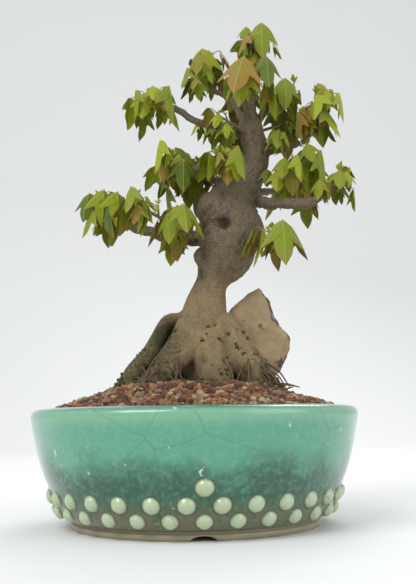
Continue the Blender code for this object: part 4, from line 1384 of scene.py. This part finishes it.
@dataclass
class Pot:
    """The drum pot: its fine outer line, its lip, and the rows of bosses."""
    sides: int = 480
    inner_foot: tuple = ((60.0, 5.2), (81.0, 5.2), (81.5, 0.0), (91.6, 0.0))
    outline: tuple = (              # radius and height, from the foot up the side and over the lip
        (92.0, 0.0), (93.2, 1.6), (93.0, 4.0), (91.6, 5.0), (92.2, 5.9), (94.2, 6.4), (98.0, 8.2),
        (102.5, 13.0), (106.3, 22.0), (107.6, 25.5), (109.4, 31.0), (112.0, 37.0), (114.0, 42.7),
        (116.0, 48.4), (117.5, 54.0), (118.8, 60.0), (120.0, 65.6), (121.2, 71.4), (122.2, 77.0),
        (122.4, 79.5), (121.8, 82.0), (119.6, 84.0), (116.0, 84.9), (110.5, 85.3), (107.6, 84.0),
        (107.0, 78.0), (107.0, 70.0),
    )
    step: float = 1.0
    arches: int = 3
    arch_lift: float = 3.4
    rows: tuple[BossRow, ...] = (
        BossRow(12.8, 4.9, 3.2, 30),
        BossRow(23.3, 5.2, 3.6, 30, 6.0),
        BossRow(34.7, 5.5, 3.6, 3),
    )
    foot_points: int = 6            # the line's first points, where no boss stands
    boss_from: float = 93.0         # and none comes nearer to the axis than this
    dome_power: float = 0.8         # how round the bosses are
    stain_reach: float = 1.35       # how far their stain spreads, as a share of their radius

    def line(self) -> np.ndarray:
        """The pot's line from under its foot to inside its lip.

        Returns:
            Rows of radius and height.
        """
        fine = smooth_line([(*p, 0.0) for p in self.outline], self.step)
        return np.array([*self.inner_foot, *[p[:2] for p in fine]])

    def bosses(self, line: np.ndarray, turns: np.ndarray) -> tuple[np.ndarray, np.ndarray]:
        """How far the bosses lift the side, and where they and their stain are.

        Args:
            line: The pot's line.
            turns: The angle of each column of points.

        Returns:
            The lift in millimetres and the mask, for each row and column of points.
        """
        lift = np.zeros((len(line), len(turns)))
        mask = np.zeros_like(lift)
        along = np.concatenate([[0], np.cumsum(np.linalg.norm(np.diff(line, axis=0), axis=1))])
        for row in self.rows:
            first = BOSS_TURN + math.radians(row.offset)
            half = math.pi / row.count
            away = (turns - first + half) % (2 * half) - half
            nearest = int(np.argmin(np.abs(line[self.foot_points:, 1] - row.level))) + self.foot_points
            up = (along - along[nearest])[:, None] / row.size
            across = away[None, :] * line[nearest, 0] / row.size
            far = np.sqrt(up ** 2 + across ** 2)
            near = (np.abs(line[:, 1] - row.level) < 2 * row.size) & (line[:, 0] > self.boss_from)
            dome = np.sqrt(np.clip(1 - far ** 2, 0, 1)) ** self.dome_power
            lift = np.where(near[:, None], np.maximum(lift, dome * row.rise), lift)
            stain = np.clip(self.stain_reach - far, 0, 1)
            mask = np.where(near[:, None], np.maximum(mask, stain), mask)
        return lift, mask

    def build(self, kit: Kit) -> None:
        """Turns the line, raises the bosses and cuts the foot's arches.

        Args:
            kit: The shared groups.
        """
        line = self.line()
        turns = np.arange(self.sides) * 2 * math.pi / self.sides
        lift, mask = self.bosses(line, turns)
        run = np.gradient(line, axis=0)
        normal = np.stack([run[:, 1], -run[:, 0]], 1) / np.linalg.norm(run, axis=1)[:, None]
        radius = line[:, 0:1] + lift * normal[:, 0:1]
        height = line[:, 1:2] + lift * normal[:, 1:2]
        for k in range(self.arches):
            gap = (turns - BOSS_TURN - 2 * math.pi * k / self.arches + math.pi) % (2 * math.pi) - math.pi
            across = np.abs(gap[None, :]) * FOOT_RADIUS / (ARCH_WIDTH / 2)
            arch = self.arch_lift * np.sqrt(np.clip(1 - across ** 2, 0, 1))
            height = np.where(height < arch, arch, height)
        points = np.stack([radius * np.sin(turns), -radius * np.cos(turns), height], 2).reshape(-1, 3)
        faces = []
        for row in range(len(line) - 1):
            a, b = row * self.sides, (row + 1) * self.sides
            for k in range(self.sides):
                after = (k + 1) % self.sides
                faces.append((a + k, a + after, b + after, b + k))
        faces.append(tuple(reversed(range(self.sides))))
        made = put("glazed_pot", (points, faces), AquaGlaze().material(kit))
        note(made, "boss", mask.ravel())
        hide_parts("pot")


@dataclass
class Soil:
    """Loose grains heaped over the soil's solid."""
    count: int = 2600
    spread: float = 105.6           # how far from the axis they are dealt
    edge: float = 106.0             # how far from the axis any of them may reach
    wander: float = 1.0
    sizes: tuple = (1.7, 3.6)
    rim: float = 96.0               # beyond this they are smaller
    rim_share: float = 0.8
    heap: float = 5.0               # how high they are heaped round the tree
    heap_end: float = 80.0
    heap_fall: float = 50.0
    sink: tuple = (-0.6, 1.0)
    shares: tuple = (0.7, 1.15)     # how long a grain's three sides are
    roughness: float = 0.16
    rings: int = 4
    tints: tuple[Colour, ...] = (
        (0.215, 0.088, 0.042),
        (0.350, 0.180, 0.080),
        (0.470, 0.360, 0.215),
        (0.260, 0.200, 0.140),
        (0.095, 0.052, 0.030),
    )
    deal: tuple[int, ...] = (0, 0, 0, 1, 1, 2, 3, 4, 4)     # how often each tint comes

    def height(self, away: float) -> float:
        """The height of the soil's top.

        Args:
            away: The distance from the axis.

        Returns:
            The height there.
        """
        line = [(0.0, GROUND), *SOIL_TOP]
        return float(np.interp(away, [p[0] for p in line], [p[1] for p in line]))

    def grain(self, draw: random.Random, i: int, lump: Shape) -> list:
        """One broken grain.

        Args:
            draw: The source of chance.
            i: Its number, which deals out its place.
            lump: The ball that it is broken from.

        Returns:
            Its points.
        """
        away = self.spread * math.sqrt((i + 0.5) / self.count)
        turn = SHOOT_TURN * i
        x = away * math.cos(turn) + draw.uniform(-self.wander, self.wander)
        y = away * math.sin(turn) + draw.uniform(-self.wander, self.wander)
        size = draw.uniform(*self.sizes) * (self.rim_share if away > self.rim else 1.0)
        away = min(math.hypot(x, y), self.edge - size)
        far = max(math.hypot(x, y), 1e-6)
        x, y = x * away / far, y * away / far
        heaped = self.heap * min(1.0, max(0.0, (self.heap_end - away) / self.heap_fall))
        z = self.height(away) + heaped + draw.uniform(*self.sink)
        angle = draw.uniform(0, FULL_TURN)
        turned = Matrix.Rotation(angle, 3, Vector([draw.uniform(-1, 1) for _ in range(3)]))
        shares = Vector([draw.uniform(*self.shares) for _ in range(3)])
        points = []
        for p in lump[0]:
            rough = 1 + draw.uniform(-self.roughness, self.roughness)
            stretched = Vector([a * b for a, b in zip(p, shares)])
            points.append(Vector((x, y, z)) + turned @ stretched * size * rough)
        return points

    def build(self, kit: Kit) -> None:
        """Strews the grains in five colours.

        Args:
            kit: The shared groups.
        """
        draw = random.Random("soil grains")
        lump = ball((0, 0, 0), 1.0, self.rings)
        heaps: list[list] = [[] for _ in self.tints]
        for i in range(self.count):
            points = self.grain(draw, i, lump)
            heaps[draw.choice(self.deal)].append((points, lump[1]))
        for i, heap in enumerate(heaps):
            clay = Crumbs(f"baked_clay_{i}", self.tints[i])
            made = put(f"soil_grains_{i}", joined(heap), clay.material(kit), False)


@dataclass
class Bark:
    """The skin of the trunk, its roots and its boughs, with relief."""
    trunk_step: float = 4.0
    trunk_sides: int = 24
    root_step: float = 3.0
    root_sides: int = 18
    swelling_rings: int = 14
    bough_sides: int = 12
    voxel: float = 1.05
    easing: float = 0.5
    rounds: int = 2
    rough_from: float = 150.0       # below this height the bark is smooth
    rough_rise: float = 60.0        # and over this much more it gets fully rough
    least_rough: float = 0.25
    ridge_size: tuple = (9.0, 15.0)     # across the limb and along it
    ridge_share: float = 0.55
    fine_size: tuple = (3.2, 5.0)
    fine_share: float = 0.45
    relief_mean: float = 0.5
    surface: float = 0.55           # the relief that stands at the limb's own surface
    depth_share: float = 1.6
    depths: tuple = ((100, 1.1), (150, 0.7), (178, 1.3), (205, 2.9), (255, 2.3), (300, 1.3))
    hollows: tuple = ((-8.0, -21.0, 237.0, 5.0), (24.0, -24.0, 224.0, 5.0), (-24.0, -8.0, 141.0, 9.0))
    hollow_share: float = 0.8
    hollow_depth: float = 1.4

    def limbs(self) -> list[Shape]:
        """The limbs before they are fused.

        Returns:
            The trunk, its roots, its swellings and its boughs, as separate shapes.
        """
        shapes = [tube(smooth_line(TRUNK_LINE, self.trunk_step), self.trunk_sides)]
        shapes += [tube(smooth_line(root.line, self.root_step), self.root_sides) for root in ROOTS]
        shapes += [ball(swelling[:3], swelling[3], self.swelling_rings) for swelling in BURR_SWELLINGS]
        return [*shapes, *[tube(bough_line(bough), self.bough_sides) for bough in BOUGHS]]

    def relief(self, point: np.ndarray) -> float:
        """How high the bark stands at a point, as a share.

        Args:
            point: The point.

        Returns:
            The share.
        """
        x, y, z = (float(c) for c in point)
        rough = min(1.0, max(self.least_rough, (z - self.rough_from) / self.rough_rise))
        across, along = self.ridge_size
        ridge = 1 - 2 * abs(noise.noise(Vector((x / across, y / across, z / along))))
        across, along = self.fine_size
        fine = noise.noise(Vector((x / across, y / across, z / along)))
        return self.relief_mean + 0.5 * (self.ridge_share * ridge + self.fine_share * fine) * rough

    def build(self, kit: Kit) -> None:
        """Fuses the limbs, eases them and raises the bark.

        Args:
            kit: The shared groups.
        """
        finish = MapleBark().material(kit)
        made = put("bark_skin", joined(self.limbs()), finish)
        mesh = fuse(made, self.voxel, self.easing, self.rounds)
        count = len(mesh.vertices)
        points = np.empty(count * 3, np.float32)
        mesh.vertices.foreach_get("co", points)
        normals = np.empty(count * 3, np.float32)
        mesh.vertex_normals.foreach_get("vector", normals)
        points = points.reshape(-1, 3) / MM
        normals = normals.reshape(-1, 3)
        relief = np.array([self.relief(p) for p in points])
        heights, depths = zip(*self.depths)
        depth = np.interp(points[:, 2], heights, depths)
        for x, y, z, size in self.hollows:
            far = ((points - np.array((x, y, z))) ** 2).sum(1)
            relief = relief - self.hollow_depth * np.exp(-far / (size * self.hollow_share) ** 2)
        points = points + normals * ((relief - self.surface) * depth * self.depth_share)[:, None]
        mesh.vertices.foreach_set("co", (points * MM).astype(np.float32).ravel())
        # the relief also tells the bark's finish where to paint shade into the hollows
        note(made, "relief", relief)
        cover(made, finish)
        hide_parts("trunk", *[bough.name for bough in BOUGHS])


@dataclass
class Undergrowth:
    """Moss on the roots and the fine roots that spread from them into the soil."""
    clumps: int = 900
    clump_sizes: tuple = (0.7, 1.9)
    clump_shares: tuple = (0.6, 1.2)
    clump_rings: int = 4
    moss_top: float = 150.0
    moss: Crumbs = Crumbs("moss", (0.062, 0.066, 0.014))
    hairs: int = 130
    hair_top: float = 118.0
    hair_reach: tuple = (6, 20)
    hair_end: float = 1.5           # height of a fine root's end over the ground
    hair_radii: tuple = (1.0, 0.7, 0.4)
    hair_step: float = 4.0
    hair_sides: int = 5
    hair_wander: float = 3.0
    skin: ThinSkin = ThinSkin("root_skin", (0.040, 0.022, 0.012), (0.170, 0.100, 0.052))
    root_step: float = 3.0
    buried: float = 2.0             # how far below the ground a place may lie

    def spot(self, draw: random.Random, highest: float) -> tuple[Vector, Vector]:
        """A seeded place on a root.

        Args:
            draw: The source of chance.
            highest: How high the place may be.

        Returns:
            The place and the way out of the root there.
        """
        while True:
            line = smooth_line(draw.choice(ROOTS).line, self.root_step)
            x, y, z, radius = draw.choice(line)
            if GROUND - self.buried < z < highest:
                out = Vector((draw.uniform(-1, 1), draw.uniform(-1, 0.6), draw.uniform(-0.1, 1))).normalized()
                return Vector((x, y, z)) + out * radius, out

    def build(self, kit: Kit) -> None:
        """Makes the moss and the fine roots.

        Args:
            kit: The shared groups.
        """
        draw = random.Random("undergrowth")
        lump = ball((0, 0, 0), 1.0, self.clump_rings)
        clumps = []
        for _ in range(self.clumps):
            place, _ = self.spot(draw, draw.uniform(GROUND, self.moss_top))
            size = draw.uniform(*self.clump_sizes)
            clumps.append(([place + p * size * draw.uniform(*self.clump_shares) for p in lump[0]], lump[1]))
        made = put("root_moss", joined(clumps), self.moss.material(kit), False)
        hairs = []
        wander = self.hair_wander
        for _ in range(self.hairs):
            place, out = self.spot(draw, self.hair_top)
            flat = Vector((out.x, out.y, 0.0)).normalized() * draw.uniform(*self.hair_reach)
            end = Vector((place.x + flat.x, place.y + flat.y, GROUND + self.hair_end))
            bend = Vector([draw.uniform(low, wander) for low in (-wander, -wander, 0)])
            stations = (place, place.lerp(end, 0.5) + bend, end)
            line = [(*station, radius) for station, radius in zip(stations, self.hair_radii)]
            hairs.append(tube(smooth_line(line, self.hair_step), self.hair_sides))
        made = put("fine_roots", joined(hairs), self.skin.material(kit))


@dataclass
class Stone:
    """The stone's broken surface."""
    voxel: float = 1.3
    easing: float = 0.5
    rounds: int = 3
    waves: tuple = ((14.0, 1.6), (5.0, 0.8), (2.2, 0.35))   # size and height of each layer of roughness
    surface: float = 0.4            # the roughness that stands at the solid's own surface
    rim_right: float = 0.8          # how much the dark rim shows where the face looks right
    rim_up: float = 0.5             # and where it looks up
    rim_rough: float = 0.25

    def build(self, solid: bpy.types.Object, kit: Kit) -> None:
        """Roughens a copy of the stone's solid.

        Args:
            solid: The stone's solid.
            kit: The shared groups.
        """
        made = bpy.data.objects.new("rough_stone", solid.data.copy())
        bpy.context.scene.collection.objects.link(made)
        mesh = fuse(made, self.voxel, self.easing, self.rounds)
        rim = []
        for vert in mesh.vertices:
            p = vert.co / MM
            rough = sum(noise.noise(p / size) * rise for size, rise in self.waves)
            mask = vert.normal.x * self.rim_right + vert.normal.z * self.rim_up + rough * self.rim_rough
            rim.append(min(1.0, max(0.0, mask)))
            vert.co += vert.normal * (rough - self.surface) * MM
        note(made, "rim", rim)
        cover(made, TanRock().material(kit))
        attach(made, BODY)
        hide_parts("stone")


@dataclass
class Crown:
    """All foliage: grown by the rule of the solids, then filled with smaller leaves and buds."""
    half: tuple = (                 # half the outline of a leaf, along and across, as shares of its length
        (0.02, 0.06), (0.07, 0.17), (0.16, 0.25), (0.27, 0.32), (0.39, 0.395), (0.50, 0.45), (0.56, 0.47),
        (0.525, 0.39), (0.48, 0.31), (0.455, 0.25), (0.47, 0.21), (0.56, 0.215), (0.66, 0.20), (0.76, 0.16),
        (0.86, 0.10), (0.94, 0.045),
    )
    rings: tuple = (0.5, 1.0)       # rings of points from the middle of a blade to its margin
    ruffle: float = 0.018
    ruffle_turn: float = 1.7
    fill_tries: int = 90
    fill_sizes: tuple = (13, 32)
    buds: int = 2                   # buds at the end of each twig
    bud_sizes: tuple = (4.5, 8.0)
    bud_spread: float = 0.6
    bud_rise: tuple = (0.3, 1.0)
    bud_stalk: float = 1.2
    stalk_share: float = 0.9        # how thick a fine stalk is beside the solid's
    stalk_tapers: tuple = (1.0, 0.85, 0.8)
    stalk_bend: float = 0.08
    stalk_sides: int = 5
    twig_sides: int = 6
    bark: ThinSkin = ThinSkin("twig_bark", (0.075, 0.050, 0.028), (0.260, 0.190, 0.095))
    skin: ThinSkin = ThinSkin("stalk_skin", (0.230, 0.210, 0.040), (0.360, 0.250, 0.060))
    leaves: dict = field(default_factory=dict)
    twigs: list = field(default_factory=list)
    stalks: list = field(default_factory=list)

    def blade(self, leaf: Leaf, curl: float) -> tuple[list, list, list]:
        """The fine blade of a leaf.

        Args:
            leaf: The leaf.
            curl: How its lobes ruffle.

        Returns:
            Its points, its faces and the place of each point on the blade.
        """
        across = leaf.along.cross(leaf.up).normalized()
        other = [(along, -side) for along, side in reversed(self.half)]
        outline = [(0.0, 0.0), *self.half, (1.0, 0.0), *other]
        points, places = [], []
        for share in (0.0, *self.rings):
            ring = outline if share else [(LEAF_MIDDLE, 0.0)]
            for k, (along, side) in enumerate(ring):
                a = LEAF_MIDDLE + (along - LEAF_MIDDLE) * share if share else along
                s = side * share if share else side
                ruffle = curl * share * math.sin(self.ruffle_turn * k) * self.ruffle
                sink = LEAF_FOLD * abs(s) + LEAF_CURL * a ** 2 + ruffle
                points.append(leaf.base + (leaf.along * a + across * s - leaf.up * sink) * leaf.length)
                places.append((a, s, share))
        size = len(outline)
        faces = [(0, 1 + k, 1 + (k + 1) % size) for k in range(size)]
        for ring in range(len(self.rings) - 1):
            low, high = 1 + ring * size, 1 + (ring + 1) * size
            faces += [(low + k, high + k, high + (k + 1) % size, low + (k + 1) % size) for k in range(size)]
        return points, faces, places

    def add_leaf(self, leaf: Leaf, tint: Tint, draw: random.Random) -> None:
        """Adds a leaf and its stalk.

        Args:
            leaf: The leaf.
            tint: Its colour.
            draw: The seeded source of its ruffle.
        """
        self.leaves.setdefault(tint, []).append(self.blade(leaf, draw.uniform(-1, 1)))
        bend = leaf.root.lerp(leaf.base, 0.6) + Vector((0, 0, self.stalk_bend * leaf.length))
        thick = STALK_THICK * self.stalk_share
        line = [(*p, thick * taper) for p, taper in zip((leaf.root, bend, leaf.base), self.stalk_tapers)]
        self.stalks.append(tube(line, self.stalk_sides))

    def add_bud(self, twig: list, side: int, space: Space, draw: random.Random) -> None:
        """Adds a small upright leaf at the end of a twig, where there is room.

        Args:
            twig: The twig's line.
            side: The bud's number.
            space: The space of its mass.
            draw: The source of chance.
        """
        end = Vector(twig[-1][:3])
        turn = draw.uniform(0, FULL_TURN) + math.pi * side
        out = Vector((math.cos(turn), math.sin(turn), 0.0))
        along = (out * self.bud_spread + Vector((0, 0, draw.uniform(*self.bud_rise)))).normalized()
        up = along.cross(out.cross(Vector((0, 0, 1)))).normalized()
        bud = Leaf(end, end + along * self.bud_stalk, along, up, draw.uniform(*self.bud_sizes))
        if space.holds(bud.samples()):
            self.add_leaf(bud, Tint.SPRING, draw)

    def grow_mass(self, index: int, mass: Mass, limbs: Limbs, lines: dict[str, list]) -> None:
        """Grows one mass and fills it.

        Args:
            index: Its number, which deals out colours.
            mass: The mass.
            limbs: What leaves keep clear of.
            lines: The limbs' centre lines.
        """
        growth = Growth(mass, limbs, lines)
        self.twigs += [tube(twig, self.twig_sides) for twig in growth.twigs]
        draw = random.Random(mass.name + " fill")
        growth.fill(draw, self.fill_tries, self.fill_sizes)
        for k, leaf in enumerate(growth.leaves):
            tint = SPRAY_TINTS[(index * 3 + k // 2 + draw.choice((0, 0, 1))) % len(SPRAY_TINTS)]
            self.add_leaf(leaf, tint, draw)
        for twig in growth.twigs:
            for side in range(self.buds):
                self.add_bud(twig, side, growth.space, draw)

    def build(self, kit: Kit) -> None:
        """Grows every mass and makes its pieces.

        Args:
            kit: The shared groups.
        """
        lines = limb_lines()
        limbs = Limbs(lines)
        for index, mass in enumerate(MASSES):
            self.grow_mass(index, mass, limbs, lines)
        nodes = [mass.name for mass in MASSES]
        wood = put("twig_wood", joined(self.twigs), self.bark.material(kit))
        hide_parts(*nodes)
        stalks = put("leaf_stalks", joined(self.stalks), self.skin.material(kit))
        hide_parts(*nodes)
        for tint, blades in self.leaves.items():
            shape = joined([blade[:2] for blade in blades])
            made = put("blades_" + tint.name.lower(), shape, LeafSkin(tint).material(kit))
            note(made, "blade", [place for blade in blades for place in blade[2]], "FLOAT_VECTOR")
            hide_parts(*nodes)


@dataclass(frozen=True)
class Lamp:
    """A soft square light: its name, its place and its side in metres, and its power in watts."""
    name: str
    place: tuple
    size: float
    power: float


@dataclass
class Studio:
    """The pale floor and backdrop, the soft lights, and the camera at the photograph's viewing angle.

    The camera's place is in millimetres and its angles in degrees. The floor and the lights are in metres.
    """
    place: tuple = (0.0, -600.0, 75.75)
    tilt: float = 9.352
    roll: float = -0.853
    pan: float = 1.085
    focal_px: float = 775.7
    long_side_px: float = 584.0
    sensor: float = 36.0
    clip: float = 0.01
    width: float = 8.0
    front: float = -4.0
    back: float = 2.2
    curve: float = 0.8              # radius of the sweep from the floor up to the backdrop
    curve_steps: int = 16
    rise: float = 3.5
    paper: Colour = (0.80, 0.80, 0.785)
    paper_roughness: float = 0.9
    sky: Colour = (0.93, 0.96, 1.0)
    sky_power: float = 0.75
    target: tuple = (0, 0, 0.2)
    lamps: tuple[Lamp, ...] = (
        Lamp("window", (-1.1, -1.2, 1.6), 1.2, 26.0),
        Lamp("fill", (1.5, -1.0, 0.8), 1.4, 9.0),
        Lamp("back", (0.4, 1.3, 1.5), 1.0, 12.0),
    )

    def camera(self) -> None:
        """Makes the camera."""
        t, a, b = (math.radians(angle) for angle in (self.tilt, self.roll, self.pan))
        ahead = Vector((math.sin(b) * math.cos(t), math.cos(b) * math.cos(t), math.sin(t)))
        right = Vector((math.cos(b), -math.sin(b), 0.0))
        up = right.cross(ahead)
        right, up = math.cos(a) * right + math.sin(a) * up, -math.sin(a) * right + math.cos(a) * up
        data = bpy.data.cameras.new("camera")
        data.sensor_width = self.sensor
        data.lens = self.focal_px / self.long_side_px * self.sensor
        data.clip_start = self.clip
        camera = bpy.data.objects.new("camera", data)
        rows = Matrix((right, up, -ahead)).transposed().to_4x4()
        rows.translation = Vector(self.place) * MM
        camera.matrix_world = rows
        bpy.context.scene.collection.objects.link(camera)
        bpy.context.scene.camera = camera

    def light(self, lamp: Lamp) -> None:
        """Makes one light, which looks at the tree.

        Args:
            lamp: The light.
        """
        data = bpy.data.lights.new(lamp.name, "AREA")
        data.size = lamp.size
        data.energy = lamp.power
        made = bpy.data.objects.new(lamp.name, data)
        made.location = lamp.place
        made.rotation_euler = (Vector(self.target) - Vector(lamp.place)).to_track_quat("-Z", "Y").to_euler()
        bpy.context.scene.collection.objects.link(made)

    def floor(self) -> None:
        """Makes the floor, which sweeps up into the backdrop."""
        start = self.back - self.curve
        line = [(self.front, 0.0), (start, 0.0)]
        for i in range(1, self.curve_steps + 1):
            turn = math.pi / 2 * i / self.curve_steps
            line.append((start + self.curve * math.sin(turn), self.curve - self.curve * math.cos(turn)))
        line.append((self.back, self.rise))
        points = [(side * self.width / 2, y, z) for y, z in line for side in (-1, 1)]
        faces = [(2 * i, 2 * i + 1, 2 * i + 3, 2 * i + 2) for i in range(len(line) - 1)]
        mesh = bpy.data.meshes.new("studio_floor")
        mesh.from_pydata(points, [], faces)
        mesh.polygons.foreach_set("use_smooth", [True] * len(faces))
        made = bpy.data.objects.new("studio_floor", mesh)
        bpy.context.scene.collection.objects.link(made)
        paper = Shading("pale_paper", self.paper_roughness)
        paper.dress("Base Color", self.paper)
        mesh.materials.append(paper.material)

    def build(self) -> None:
        """Makes the floor, the sky, the lights and the camera."""
        self.floor()
        world = bpy.data.worlds.new("studio")
        world.use_nodes = True
        sky = world.node_tree.nodes["Background"]
        sky.inputs["Color"].default_value = (*self.sky, 1.0)
        sky.inputs["Strength"].default_value = self.sky_power
        bpy.context.scene.world = world
        for lamp in self.lamps:
            self.light(lamp)
        self.camera()


def main() -> None:
    """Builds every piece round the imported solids."""
    logging.basicConfig(level=logging.INFO, format="%(message)s")
    for old in list(bpy.data.objects):
        bpy.data.objects.remove(old, do_unlink=True)
    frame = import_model()
    bpy.context.scene.view_settings.view_transform = "Standard"
    kit = Kit(Mottle().build(), Crackle().build())
    earth = frame["nodes"]["soil"]
    earth.data.materials.clear()
    earth.data.materials.append(Crumbs("packed_earth", (0.150, 0.080, 0.045)).material(kit))
    Pot().build(kit)
    Soil().build(kit)
    Bark().build(kit)
    Stone().build(frame["nodes"]["stone"], kit)
    Undergrowth().build(kit)
    Crown().build(kit)
    Studio().build()


if __name__ == "__main__":
    main()
